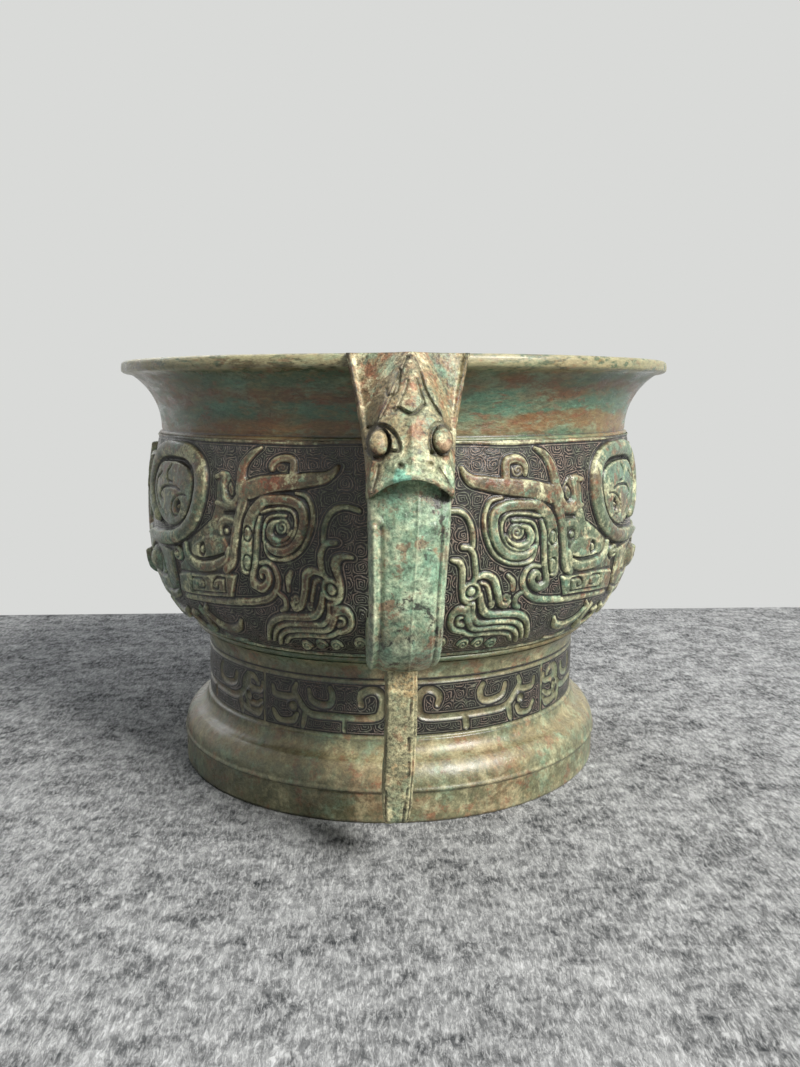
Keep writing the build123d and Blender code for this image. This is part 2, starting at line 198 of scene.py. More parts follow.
def make_mesh(name, points, quads, attributes=None, lean=True):
    """A smooth-shaded mesh object from numpy arrays, sizes in millimetres."""
    pts = (leaning(points) if lean else np.asarray(points, float).reshape(-1, 3)) * MM
    mesh = bpy.data.meshes.new(name)
    mesh.vertices.add(len(pts))
    mesh.vertices.foreach_set("co", pts.ravel().astype(np.float32))
    mesh.loops.add(quads.size)
    mesh.loops.foreach_set("vertex_index", quads.ravel().astype(np.int32))
    mesh.polygons.add(len(quads))
    mesh.polygons.foreach_set("loop_start", np.arange(0, quads.size, 4, dtype=np.int32))
    mesh.polygons.foreach_set("loop_total", np.full(len(quads), 4, np.int32))
    mesh.update(calc_edges=True)
    mesh.validate()
    mesh.polygons.foreach_set("use_smooth", np.ones(len(mesh.polygons), bool))
    for key, value in (attributes or {}).items():
        value = np.asarray(value, np.float32)
        kind, slot = ("FLOAT_VECTOR", "vector") if value.shape[-1] == 3 else ("FLOAT", "value")
        mesh.attributes.new(key, kind, "POINT").data.foreach_set(slot, value.ravel())
    obj = bpy.data.objects.new(name, mesh)
    scene.collection.objects.link(obj)
    return obj


# ---------------------------------------------------------------- relief drawn on a field
class Field:
    """A height field over a flat patch, with u across and v down, in millimetres."""

    def __init__(self, u, v):
        self.u, self.v = u, v
        self.U, self.V = np.meshgrid(u, v)
        self.h = np.zeros_like(self.U)
        self.cut = np.zeros_like(self.U)
        self.edge = np.full_like(self.U, 9.0)
        self.ground = np.ones_like(self.U)

    def window(self, lo, hi, margin):
        i0, i1 = np.searchsorted(self.u, (lo[0] - margin, hi[0] + margin))
        j0, j1 = np.searchsorted(self.v, (lo[1] - margin, hi[1] + margin))
        return (slice(j0, j1), slice(i0, i1))

    def near(self, line, margin):
        """Distance to a line of points and the line's other columns at the nearest place."""
        win = self.window(line[:, :2].min(0), line[:, :2].max(0), margin)
        x, y = self.U[win], self.V[win]
        best = np.full(x.shape, 1e9)
        extra = np.zeros(x.shape + (line.shape[1] - 2,))
        for a, b in zip(line, line[1:]):
            dx, dy = b[0] - a[0], b[1] - a[1]
            n = dx * dx + dy * dy
            if n < 1e-12:
                continue
            t = np.clip(((x - a[0]) * dx + (y - a[1]) * dy) / n, 0, 1)
            d = np.hypot(x - a[0] - t * dx, y - a[1] - t * dy)
            near = d < best
            best = np.where(near, d, best)
            extra = np.where(near[..., None], a[2:] + t[..., None] * (b[2:] - a[2:]), extra)
        return win, best, extra

    def raise_to(self, win, h, distance):
        """Raises the window to the heights and marks how far each place is from the edge."""
        self.h[win] = np.maximum(self.h[win], h)
        self.edge[win] = np.minimum(self.edge[win], np.abs(distance))
        self.ground[win] = np.minimum(self.ground[win], sstep(distance, -0.05, 0.3))

    def stroke(self, points, rise, width=None, crown=0.2, wall=0.55, square=False):
        """A raised ribbon. A point may give its own width as a third number."""
        pts = np.array([tuple(p) + ((width,) if len(p) == 2 else ()) for p in points], float)
        line = smooth_line(pts) if not square else resample(pts, 1.0)
        win, d, w = self.near(line, line[:, 2].max() / 2 + 4)
        half = np.maximum(w[..., 0] / 2, 0.05)
        inside = sstep(half - d, -wall / 2, wall / 2)
        s = np.clip(d / half, 0, 1)
        self.raise_to(win, rise * inside * (1 - crown * s * s), d - half)

    def groove(self, points, depth, width=0.8, smooth=True):
        """An incised line."""
        pts = np.array(points, float)
        win, d, _ = self.near(smooth_line(pts) if smooth else pts, width + 1)
        c = depth * (1 - sstep(d, width * 0.15, width * 0.75))
        self.cut[win] = np.maximum(self.cut[win], c)

    def boss(self, u, v, radius, rise, squash=1.0, ring=0.0):
        """A rounded boss, with an incised ring round it when asked."""
        win = self.window((u - radius, v - radius), (u + radius, v + radius), radius * 0.8 + 3)
        d = np.hypot(self.U[win] - u, (self.V[win] - v) / squash)
        h = rise * np.sqrt(np.clip(1 - (d / radius) ** 2, 0, 1))
        self.raise_to(win, h * sstep(radius - d, -0.3, 0.3), d - radius)
        if ring:
            c = ring * (1 - sstep(np.abs(d - radius - 0.35), 0.1, 0.55))
            self.cut[win] = np.maximum(self.cut[win], c)

    def plate(self, outline, rise, wall=0.9, slope=0.0, rounded=False):
        """A raised plate with a polygon outline, which may slope along u."""
        poly = np.array(outline, float)
        if rounded:
            poly = smooth_line(np.vstack((poly, poly[:2])), 5)[:-6]
        win, d, _ = self.near(np.vstack((poly, poly[:1])), 6)
        x, y = self.U[win], self.V[win]
        inside = np.zeros(x.shape, bool)
        for a, b in zip(poly, np.roll(poly, -1, 0)):
            crosses = (a[1] > y) != (b[1] > y)
            with np.errstate(divide="ignore", invalid="ignore"):
                at = (b[0] - a[0]) * (y - a[1]) / (b[1] - a[1]) + a[0]
            inside ^= crosses & (x < at)
        sd = np.where(inside, -d, d)
        top = np.maximum(rise + slope * (x - poly.mean(0)[0]), 0)
        self.raise_to(win, top * sstep(-sd, -wall / 2, wall / 2), sd)

    def coil(self, u, v, radius, turns, width, rise, hand=1, start=0.0):
        """A small spiral of thin raised line."""
        t = np.linspace(0, turns * 2 * math.pi, int(turns * 18) + 2)
        r = radius * (1 - t / t[-1] * 0.86)
        a = math.radians(start) + hand * t
        self.stroke(np.stack((u + r * np.cos(a), v + r * np.sin(a)), 1), rise, width, wall=0.45)

    def height(self):
        """The relief as it is worn, with its incised lines."""
        worn = np.where(self.h < 2.2, 0.7 * self.h, self.h - 0.66)
        return np.maximum(worn - 0.85 * self.cut, -0.5)

    def sample(self, values, u, v):
        """Values of the field at other places, between its grid points."""
        x = np.clip((u - self.u[0]) / (self.u[1] - self.u[0]), 0, len(self.u) - 1.001)
        y = np.clip((v - self.v[0]) / (self.v[1] - self.v[0]), 0, len(self.v) - 1.001)
        i, j = x.astype(int), y.astype(int)
        fx, fy = x - i, y - j
        return (
            values[j, i] * (1 - fx) * (1 - fy) + values[j, i + 1] * fx * (1 - fy)
            + values[j + 1, i] * (1 - fx) * fy + values[j + 1, i + 1] * fx * fy
        )


# ---------------------------------------------------------------- the belly's ornament
def draw_belly(f):
    """The frieze from a handle's middle at u=0 to the middle of a mask at u=QUARTER."""
    q = QUARTER
    # Crest with its hook, and the plume that meets it
    f.stroke([(17.3, 8.4, 0.8), (18.5, 10.6, 2.2), (20.9, 12.4, 3.6), (24.9, 13, 4.3),
        (29.7, 13.6, 4.8), (35.5, 14.2, 5.2), (41.7, 15.4, 5.4), (48.5, 17.4, 5.6)], 1.7)
    f.stroke([(31.7, 12.6, 3), (31.7, 9, 2.6), (32.1, 6.2, 2.6), (34.5, 5.4, 2.5), (37.1, 6, 2.4),
        (38.7, 8.2, 1.9), (38.7, 10.2, 1.2)], 1.6)
    f.coil(36, 9, 1.9, 1.6, 0.6, 0.7, -1, 200)
    f.stroke([(42.5, 2.4, 0.8), (45.9, 4.4, 2.2), (48.5, 7.8, 2.8), (49.7, 11.6, 3),
        (50.5, 15, 3.6), (51.5, 18.2, 4.2)], 1.6)
    # Spiral that ends the mask's brow, its outer ridge and inner turns
    f.stroke([(30.5, 17.2), (27.1, 18), (25.5, 20.2), (24.7, 23.4), (24.9, 27), (25.9, 30.4),
        (27.5, 33.6), (30.1, 36), (33.5, 37.4), (37.5, 37.8), (40.5, 37), (41.9, 35), (42.3, 32.6)],
        1.3, 1.15)
    f.stroke([(46.9, 23.2, 3.4), (43.5, 20.4, 3.1), (38.9, 19.6, 3), (34.5, 19.4, 3), (30.9, 20, 3),
        (28.3, 21.8, 2.9), (27.5, 25, 2.8), (27.9, 28.4, 2.8), (29.1, 31.4, 2.8), (31.4, 33.9, 2.8),
        (34.4, 35.2, 2.7), (37.7, 35.2, 2.4), (40.2, 34.3, 1.7), (41.2, 33, 0.9)], 1.9)
    f.stroke([(43.9, 23.6), (39.9, 22.5), (35.7, 22), (32.5, 22.3), (30.7, 24), (30.2, 26.6),
        (30.8, 29.6), (32.4, 32), (35.1, 33.2), (37.7, 33.3), (39.7, 32.6)], 1.4, 0.95)
    f.stroke([(37.3, 26, 0.7), (39.3, 26.9, 1.8), (40.5, 28.8, 2.3), (40.1, 30.7, 2.3),
        (38.3, 31.8, 1.9), (35.3, 31.9, 1.4), (32.9, 30.6, 1), (31.7, 28.8, 0.7)], 1.7)
    f.stroke([(34.2, 24.2), (38, 24.3), (41.4, 25.4), (42.8, 28.4), (42.9, 32)], 1.2, 0.8)
    f.coil(35.6, 27.9, 2.7, 1.9, 0.6, 0.7, 1, 150)
    # Narrow band beside the spiral, the column with two ovals, and the band to its right
    f.stroke([(44.6, 25.2, 1.2), (45.6, 29, 1.7), (45.8, 33, 1.8), (46.4, 38.4, 1.9),
        (47.9, 43, 2.1), (47.8, 45.4, 2.3)], 1.5)
    f.stroke([(43.6, 20.8, 3.1), (46.6, 23.2, 3.8), (48.6, 27, 4), (49.4, 32.6, 4), (50, 38, 3.9),
        (50.6, 41.2, 3.4)], 1.8)
    for u, v, tall in ((49.1, 30.3, 2.3), (49.5, 39.2, 2.6)):
        ring = [(u + 1.45 * math.sin(t), v - tall * math.cos(t)) for t in np.linspace(0, 2 * math.pi, 13)]
        f.groove(ring, 1.1, 0.62)
    f.stroke([(51, 17, 4.2), (51.4, 21.6, 3.6), (52.9, 25.8, 3.1), (54, 30.6, 3), (55, 35.4, 3),
        (55.8, 39.6, 3), (58.6, 42.4, 2.6)], 1.6)
    # Curl at the column's foot and the line under it
    f.stroke([(47.7, 45.2, 2.6), (45.1, 46.2, 2.4), (42.6, 45, 2.2), (41.6, 43, 2.2),
        (42.6, 41.3, 2.1), (44.3, 41.7, 1.6), (44.4, 43.2, 1)], 1.7)
    f.stroke([(44.6, 39.2, 1), (41.5, 38.8, 1.3), (39.2, 40.4, 1.6), (38.5, 43.6, 1.7),
        (40.2, 47, 1.7), (43.6, 49.4, 1.7), (49, 50.5, 1.6), (56, 51.2, 1.5)], 1.2)
    # Low ground under the hook, slot and ear before the horn
    f.plate([(51.5, 19), (56, 12.4), (60.6, 11.6), (62.2, 16), (62.6, 22), (64.6, 27), (70, 29.8),
        (77, 33.4), (83, 36.4), (84, 43.8), (70, 43.8), (57.5, 43.4), (54.6, 36), (53, 27)], 0.55,
        wall=0.5)
    f.stroke([(62.4, 13.6, 1.6), (58.6, 13.2, 2.2), (58.9, 16.6, 2), (58.6, 20.4, 2),
        (55.4, 21.6, 1.8), (52.6, 19.6, 2.4)], 1.5)
    f.groove([(55.4, 14.6), (57, 16.6), (57, 18.8), (55.8, 20), (54.4, 18.8), (54.2, 16.6),
        (55.4, 14.6)], 0.9, 0.6)
    f.stroke([(53.6, 22.4, 1.8), (58, 22.6, 2), (62.4, 21.8, 1.4)], 1.3)
    f.groove([(54.7, 24.5), (58.9, 24.9)], 1, 0.9)
    f.stroke([(54.6, 27, 1.8), (58.8, 27, 2.2), (60.6, 29.2, 2.1), (60, 31.4, 1.4)], 1.4)
    f.boss(57.9, 30.4, 1.1, 1.2, ring=0.6)
    f.plate([(57.4, 34.4), (59.3, 32.6), (64.3, 31.9), (70.1, 32.8), (74.7, 35.2), (75, 37.6),
        (70, 38.6), (62.5, 38.4), (58.3, 37)], 1.1, wall=0.6, rounded=True)
    f.groove([(58.6, 37.6), (63.5, 39), (69.5, 39.2), (72.6, 38.6)], 1, 0.7)
    f.groove([(69, 34), (70.6, 35), (70.6, 37), (69.2, 37.8), (68.2, 36.6), (68.4, 34.8), (69, 34)],
        1.3, 1.1)
    f.stroke([(56.6, 35.4, 1.5), (58.4, 39, 2.6), (62.6, 41.2, 3), (68, 41.6, 3.2),
        (74.2, 40.8, 3.2), (78.2, 38.2, 2.8), (78.4, 34.8, 2)], 1.9)
    f.boss(84.2, 38.4, 2.9, 2.6, squash=0.9, ring=0.9)
    f.groove([(83, 38), (84.6, 37.2), (85.6, 38.6), (84.4, 39.8), (83.2, 39.2)], 1.2, 0.9)
    # Jaw band with its pair of squared scrolls
    f.plate([(54.6, 43.6), (60.2, 43.9), (67, 44.2), (77, 44.4), (84.6, 45.2), (86.6, 51.6),
        (70, 51), (57.4, 50)], 1.5, wall=0.6)
    f.groove([(63.2, 44.9), (59.2, 44.9), (59.9, 49.2), (66, 49.7), (72, 50), (77.8, 50.4),
        (76.6, 45.6), (70.6, 45.3)], 1.1, 0.75, smooth=False)
    f.groove([(62.9, 44.9), (64.9, 45.9), (65.6, 47.9), (63.4, 48.2), (62.6, 47)], 1.1, 0.7)
    f.groove([(70.9, 45.4), (69.6, 46.4), (70.3, 48.4), (73.2, 48.7), (73.6, 47.4)], 1.1, 0.7)
    f.stroke([(55, 51.4), (66, 52.3), (76, 52.7), (86, 53.1)], 1.1, 1.3)
    # Horn of the mask: a broad ring band, a groove and an almost flush inner face with its curls
    f.plate([(75.4, 10.6), (84, 8.4), (96, 8.8), (103.6, 13.6), (104.6, 20.4), (99, 26), (90, 29.4),
        (81.6, 28.2), (75.6, 23.6), (73.6, 16.4)], 2, wall=0.8, rounded=True)
    f.stroke([(115, 35.4, 2), (108, 35, 3.6), (100, 35.2, 4.6), (92.4, 34.2, 5), (83.8, 32.2, 5.4),
        (75.9, 28.4, 5.6), (71.9, 23.6, 5.8), (70.1, 18.4, 5.9), (70.1, 12.6, 5.9),
        (72.3, 8.2, 5.6), (77.4, 5.3, 5.2), (85, 4.3, 5.2), (97, 5, 5.6), (105.4, 8.8, 6),
        (109.6, 15.4, 6.2), (107.8, 22.8, 5.6), (101.4, 27.8, 4.2)], 2.9, crown=0.34, wall=0.9)
    f.groove([(99, 29.4), (91.4, 31.2), (82.4, 29.4), (77.2, 26.2), (74.6, 21.8), (73.6, 16.6),
        (74.6, 12.4), (78.2, 9.6), (85.4, 8), (96, 8.6)], 1.3, 0.8)
    f.groove([(88.6, 9.6), (91.4, 12.2), (90.6, 14.8), (87, 15.4)], 1.2, 0.85)
    f.groove([(81.4, 17.6), (84.8, 16.7), (89.6, 16.7), (94.6, 17.6), (97.6, 20.4), (94.4, 22)],
        1.1, 0.85)
    f.groove([(77.6, 19), (81.4, 19), (85.2, 20.6), (86.8, 23.6), (85, 26), (82.4, 25.6)], 0.8, 0.7)
    f.groove([(82.4, 21), (83.6, 22.6), (83.4, 24.2), (81.8, 23.8), (81.2, 22.2), (82.4, 21)], 2,
        1.5)
    f.groove([(97, 12.6), (101.6, 15.4), (102.2, 19.4), (98.6, 23.6), (93, 26.2)], 0.9, 0.75)
    # Eye, brow plate and cheek of the mask
    f.plate([(88.6, 38.4), (95, 37.6), (104, 37.6), (113, 36.8), (125, 33.6), (133, 35), (134, 47),
        (126, 54.4), (112, 56), (98, 55.6), (91.4, 53.6), (88, 48)], 1.9, wall=0.8, slope=0.012)
    f.boss(106, 43.4, 6.4, 3.9, squash=0.72, ring=1.5)
    f.boss(106, 43.4, 1.9, 4.1)
    f.groove([(95.6, 46.2), (98.4, 40.6), (105, 38.4), (112.4, 40.2), (119.4, 46.8), (113, 48.4),
        (105, 48.6), (98.6, 48), (95.6, 46.2)], 1.3, 0.9)
    f.groove([(90.4, 51.4), (97, 52.6), (106, 52.8), (118, 51.8), (126, 48.8)], 1.1, 0.8)
    # Forehead and nose down the mask's middle
    f.plate([(q - 14, 13), (q - 10, 8.6), (q - 3.6, 7.4), (q + 3.6, 7.4), (q + 10, 8.6),
        (q + 14, 13), (q + 12, 20.6), (q + 5.4, 25), (q - 5.4, 25), (q - 12, 20.6)], 3, wall=0.9)
    f.groove([(q - 11, 14), (q - 7, 11), (q - 3.4, 13.6), (q - 5.6, 17), (q - 8, 15.4)], 1.2, 0.9)
    f.groove([(q - 9.6, 20.4), (q - 5.6, 22.6), (q - 3.4, 20)], 1, 0.8)
    f.stroke([(q, 5.6, 3), (q, 14, 5.4), (q, 26, 6.4), (q, 38, 8.4), (q, 46, 10)], 4.6, crown=0.6,
        wall=1.6)
    f.stroke([(q - 17, 43.4, 3), (q - 14.4, 48.6, 4.8), (q - 8, 49.8, 5.6), (q, 47, 6.4),
        (q + 8, 49.8, 5.6)], 4.6, crown=0.6, wall=1.4)
    f.groove([(q - 13.6, 46.6), (q - 10.4, 45.4), (q - 8, 47.6), (q - 10, 49.6), (q - 12.6, 48.6)],
        1.5, 0.9)
    f.groove([(q - 3.4, 27), (q - 4.4, 34), (q - 6.6, 41)], 0.9, 0.8)
    f.stroke([(q - 22, 12, 1.6), (q - 19.6, 16.6, 3), (q - 17.4, 23, 3.4), (q - 18.4, 29.6, 2.4)],
        1.7)
    f.stroke([(q - 21, 60.6, 1.4), (q - 13, 58.6, 2.6), (q - 6, 55.8, 3), (q, 55, 3)], 2)
    # Lower jaw and the crescents under the jaw band
    f.stroke([(57.6, 57, 0.8), (60.6, 59.8, 2), (66, 61.2, 2.6), (72, 59.6, 2.4), (75.4, 56.2, 1.8),
        (73.8, 54.6, 1)], 1.6)
    f.stroke([(78.6, 55.6, 1.2), (76.8, 58.8, 2.2), (78.8, 62.6, 2.8), (84, 64.2, 2.8),
        (88, 61.4, 2.4), (87.2, 58.4, 1.7), (84.2, 58.4, 1.1)], 1.8)
    f.stroke([(92, 58, 1.4), (97, 60.6, 2.8), (104, 61.6, 3.4), (112, 60.6, 3), (117, 58.2, 1.5)],
        2.1)
    f.stroke([(61, 65.4, 0.8), (67.4, 66.2, 1.5), (73.6, 65, 1)], 1)
    # Dragon beside the handle
    f.boss(21.5, 45.4, 1.5, 1.7)
    f.stroke([(21.5 + 2.55 * math.cos(a), 45.4 + 2.55 * math.sin(a), 0.9) for a in np.linspace(-2.9, 3.4, 15)],
        1.5, square=True)
    f.stroke([(13.5, 21.2), (16.5, 21.4), (18.9, 22.8), (20.5, 25.4), (21.2, 28.4), (21.3, 31.6)],
        1.3, 1.3)
    f.stroke([(18.1, 31.8), (20.3, 32.2), (21.7, 34.2), (22.3, 37.8), (22.7, 41), (22, 42.6)], 1.3,
        1.4)
    f.stroke([(15, 35.6, 1.1), (17.1, 36.2, 1.7), (18.2, 38.2, 1.7), (18.5, 41, 1.6),
        (18.6, 44, 1.6), (19.4, 47.8, 1.5), (21.8, 49.4, 1.3)], 1.4)
    f.stroke([(23.5, 41.2, 1.2), (25.5, 40.6, 1.9), (28.1, 42, 2.1), (29.5, 44.8, 2),
        (30.7, 47.8, 1.9), (31.9, 50.4, 1.7), (34.1, 51.4, 1.3), (35.1, 50, 0.9)], 1.6)
    f.stroke([(24.5, 43, 0.9), (26.3, 43.8, 1), (27.5, 46.2, 1), (28.3, 48.8, 0.9)], 1.1)
    f.stroke([(24.4, 46.6, 1.6), (25.5, 50.4, 2), (27.3, 52.6, 2), (30.1, 53.5, 1.7),
        (35.5, 53.8, 1.6), (39.9, 54.2, 1.6), (44.1, 56, 1.6), (46.9, 59.2, 1.4), (48.9, 62.4, 1)],
        1.7)
    f.stroke([(22.8, 49.4, 1.2), (23.1, 52.6, 1.6), (25.2, 55, 1.5), (27.9, 55.6, 1.3),
        (32.5, 55.7, 1.3), (39.5, 56.4, 1.3), (43.4, 58.3, 1.3), (46.6, 62.4, 1)], 1.5)
    f.stroke([(20.9, 50.4, 2), (21.8, 53.4, 2.2), (23.5, 56.2, 1.8), (26.3, 57.4, 1.3),
        (33.1, 57.6, 1.2), (39.1, 58.4, 1.2), (42.9, 60.6, 1.2), (45, 63.6, 1)], 1.5)
    f.stroke([(20.9, 57.6, 1.3), (24.7, 59.3, 1.1), (31.9, 59.5, 1.1), (38.9, 60.5, 1.1),
        (42, 62.8, 1)], 1.2)
    f.stroke([(20.6, 51.2, 2.4), (18.3, 50.9, 2.1), (16.5, 52.2, 1.8), (16.2, 54.6, 1.6),
        (17.6, 56.6, 1.6), (20.2, 57.6, 1.3)], 1.5)
    f.stroke([(20.4, 55.4, 1.4), (18.6, 54.7, 1.2), (18.5, 53.3, 1.1), (19.8, 53, 0.9)], 1.2)
    f.stroke([(39.4, 47.2, 1), (37.3, 49, 1.4), (37.6, 51.4, 1.3), (39.4, 52.2, 0.9)], 1.1)
    f.coil(33.6, 48.6, 1.2, 1.3, 0.6, 0.8, 1, 0)
    f.coil(28.9, 50.4, 1.1, 1.2, 0.55, 0.7, -1, 90)
    f.stroke([(33, 41.4, 1), (35, 43.6, 1.4), (35.6, 46.4, 1)], 1)
    for u, v in ((14.2, 61.6), (22.8, 62.8), (28.4, 62.9), (34.2, 63.8)):
        f.coil(u, v, 2, 1.5, 0.75, 1, 1, 180)
    # Borders
    f.stroke([(-4, 0.6), (70, 0.6), (q + 4, 0.6)], 0.7, 0.7, wall=0.4, square=True)
    f.stroke([(-4, 67.4), (70, 67.4), (q + 4, 67.4)], 0.8, 1, wall=0.4, square=True)

# ---------------------------------------------------------------- belly line and pieces
upper = arc((BELLY_R, BELLY_Z), (FRIEZE_R, FRIEZE_Z), (0, 1), 60)[::-1]
middle = arc((BELLY_R, BELLY_Z), (TURN_R, TURN_Z), (0, -1), 30)
lower = arc((TURN_R, TURN_Z), (BELLY_FOOT_R, BELLY_FOOT_Z), end_tangent(middle), 60)
belly_line = resample(np.vstack((upper, middle[1:], lower[1:])), GRID)
belly_length = lengths_along(belly_line)[-1]
belly_tan = np.gradient(belly_line, axis=0)
belly_tan /= np.linalg.norm(belly_tan, axis=1, keepdims=True)
belly_out = np.stack((-belly_tan[:, 1], belly_tan[:, 0]), 1)
master = Field(
    np.linspace(0, QUARTER, int(QUARTER / GRID) + 1),
    np.linspace(FRIEZE_TOP, FRIEZE_LOW, int((FRIEZE_LOW - FRIEZE_TOP) / GRID) + 1),
)
draw_belly(master)
# The pattern's lower third is drawn a little closer together than the upper part
row_v = np.interp(
    np.linspace(0, belly_length, len(belly_line)),
    (0, 50, belly_length), (FRIEZE_TOP, 50 + FRIEZE_TOP, FRIEZE_LOW),
)


def belly_quarter(name, sx, sy, seed):
    """One quarter of the belly between a handle and a mask, with its own small errors."""
    U, V = np.meshgrid(master.u, row_v)
    flat = np.stack((U, V, np.full_like(U, seed * 7.0)), 2)
    fade = sstep(U, 0, 14) * (1 - sstep(U, QUARTER - 16, QUARTER - 2))
    du = 0.55 * noise(flat, 19, 11) * fade
    dv = 0.5 * noise(flat, 17, 12) * fade
    if sx < 0:
        # The left side's spiral is smaller and its crest is higher and further round
        du = du - 2.8 * sstep(U, 12, 22) * (1 - sstep(U, 28, 50)) * (1 - sstep(V, 34, 46))
        du = du - 3.0 * sstep(U, 36, 46) * (1 - sstep(U, 54, 66)) * (1 - sstep(V, 8, 20))
        dv = dv + (1.7 * sstep(V, 4, 12) * (1 - sstep(V, 38, 52))
                   * sstep(U, 10, 18) * (1 - sstep(U, 60, 72)))
    h, edge, ground = (
        master.sample(values, U + du, V + dv)
        for values in (master.height(), master.edge, master.ground)
    )
    low = blur(h, 7)
    h = h + 0.07 * noise(flat, 3.1, 13) + 0.05 * noise(flat, 1.2, 14)
    a = U / BELLY_R
    r = belly_line[:, 0][:, None] + h * belly_out[:, 0][:, None]
    z = belly_line[:, 1][:, None] + h * belly_out[:, 1][:, None]
    p = np.stack((sx * r * np.sin(a), -sy * r * np.cos(a), z), 2)
    obj = make_mesh(name, p, grid_faces(*U.shape, flip=sx * sy > 0), {
        "flat": np.stack((U, V, np.zeros_like(U)), 2),
        "proud": np.clip((h - low) / 0.9, -1, 1), "ground": ground, "edge_mm": edge,
    })
    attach(obj, "root")
    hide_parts("bowl")
    return obj


belly = [
    belly_quarter(f"belly_{n}", sx, sy, i)
    for i, (n, sx, sy) in enumerate((
        ("front_right", 1, 1), ("front_left", -1, 1), ("back_right", 1, -1), ("back_left", -1, -1),
    ))
]


def turned(name, profile, rough, seed):
    """A turned shell from a profile of (radius, height) points, with a cast surface."""
    columns = 420
    a = np.linspace(0, 2 * math.pi, columns, endpoint=False)
    r, z = profile[:, 0][:, None], profile[:, 1][:, None]
    p = round_axis(r, z, a)
    n = grid_normals(p, close=True)
    coarse, middling, fine = (noise(p, size, seed + i) for i, size in enumerate((9, 3.1, 1.3)))
    p = p + n * (rough * (coarse + 0.6 * middling + 0.4 * fine))[..., None]
    flat = np.stack((np.degrees(a)[None, :] + 0 * z, z + 0 * a, 0 * z + 0 * a), 2)
    obj = make_mesh(name, p, grid_faces(len(profile), columns, close=True), {"flat": flat})
    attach(obj, "root")
    return obj


# Neck, lip and inside of the bowl
step_up = [
    (FRIEZE_R - 0.3, FRIEZE_Z - 0.3), (FRIEZE_R - 0.35, FRIEZE_Z + 0.1),
    (FRIEZE_R + 0.1, FRIEZE_Z + 0.35), (FRIEZE_R + 0.15, FRIEZE_Z + 0.75),
    (NECK_R - 0.35, FRIEZE_Z + 1.05), (NECK_R - 0.4, FRIEZE_Z + 1.4),
    (NECK_R - 0.05, FRIEZE_Z + 1.75),
]
neck_arc = arc((NECK_R, NECK_Z), (UNDER_R, UNDER_Z), (0, 1), 40)
lip = [
    (UNDER_R + 1.8, UNDER_Z + 0.25), (RIM_R - 0.5, LIP_Z + 0.1), (RIM_R - 0.05, LIP_Z + 0.6),
    (RIM_R, LIP_Z + 1.6), (RIM_R - 0.05, HEIGHT - 1.1), (RIM_R - 0.4, HEIGHT - 0.35),
    (RIM_R - 1.1, HEIGHT - 0.05), (LIP_INNER_R + 1.1, HEIGHT - 0.05),
    (LIP_INNER_R + 0.4, HEIGHT - 0.35), (LIP_INNER_R, HEIGHT - 1.2),
]
flare_in = arc((NECK_R - WALL, NECK_Z), (LIP_INNER_R, HEIGHT), (0, 1), 40)[::-1][3:]
inner_top = arc((BELLY_R - WALL, BELLY_Z), (NECK_R - WALL, NECK_Z), (0, 1), 30)[::-1]
inner_mid = arc((BELLY_R - WALL, BELLY_Z), (TURN_R - WALL, TURN_Z), (0, -1), 12)
inner_low = arc(
    (TURN_R - WALL, TURN_Z), (FLOOR_EDGE_R, FLOOR_EDGE_Z), end_tangent(inner_mid), 40
)
floor_in = arc((0, FLOOR_Z), (FLOOR_EDGE_R, FLOOR_EDGE_Z), (1, 0), 30)[::-1]
shell = np.vstack((
    step_up, neck_arc, lip, flare_in, inner_top[1:], inner_mid[1:], inner_low[1:],
    floor_in[1:-1], [(0.4, FLOOR_Z)],
))
bowl_mouth = turned("bowl_mouth", resample(shell, 0.9), 0.05, 21)
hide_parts("bowl")

# Lower border of the belly, its underside and the spigot that stands in the foot
under = [
    (0.4, 47.2), (40, 48.0), (64.5, 49.0), (64.6, SPIGOT_Z), (SPIGOT_R - 0.05, SPIGOT_Z),
    (SPIGOT_R, SEAT_Z + 0.02), (SEAT_R - 0.4, SEAT_Z + 0.05), (SEAT_R + 0.6, SEAT_Z + 0.5),
    (BELLY_FOOT_R + 0.75, BELLY_FOOT_Z - 1.3), (BELLY_FOOT_R + 0.75, BELLY_FOOT_Z - 0.6),
    (BELLY_FOOT_R + 0.3, BELLY_FOOT_Z - 0.1), (BELLY_FOOT_R - 0.3, BELLY_FOOT_Z + 0.3),
]
bowl_under = turned("bowl_under", resample(under, 0.8), 0.03, 31)
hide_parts("bowl")

# ---------------------------------------------------------------- ring foot
foot_line = resample(np.vstack((
    arc((FOOT_NECK_R, FOOT_TOP_Z), (SEAT_R, SEAT_Z), (0, 1), 16)[::-1],
    [(FOOT_NECK_R, FOOT_LOW_Z), (FOOT_NECK_R + 0.8, FOOT_LOW_Z - 0.4)],
    arc((FOOT_NECK_R + 0.8, FOOT_LOW_Z - 0.6), (FLARE_R, FLARE_Z), (0, -1), 14),
    arc((BASE_R, PLINTH_Z + 1.4), (FLARE_R, FLARE_Z), (0, 1), 16)[::-1],
    [(BASE_R + 0.45, PLINTH_Z + 0.7), (BASE_R + 0.5, PLINTH_Z), (BASE_R - 0.1, PLINTH_Z - 0.5)],
    [(BASE_R, 0.8), (BASE_R - 0.3, 0.2), (BASE_R - 0.9, 0), (BASE_R - 3.2, 0), (BASE_R - WALL, 0.7)],
    [(BASE_R - WALL, 9.6), (FOOT_NECK_R - WALL, FOOT_LOW_Z), (FOOT_NECK_R - WALL, SPIGOT_Z)],
    [(SPIGOT_R, SPIGOT_Z)],
)), 0.42)
foot_field = Field(np.arange(0, FOOT_QUARTER + 0.4, 0.4), np.arange(0, 20.81, 0.35))


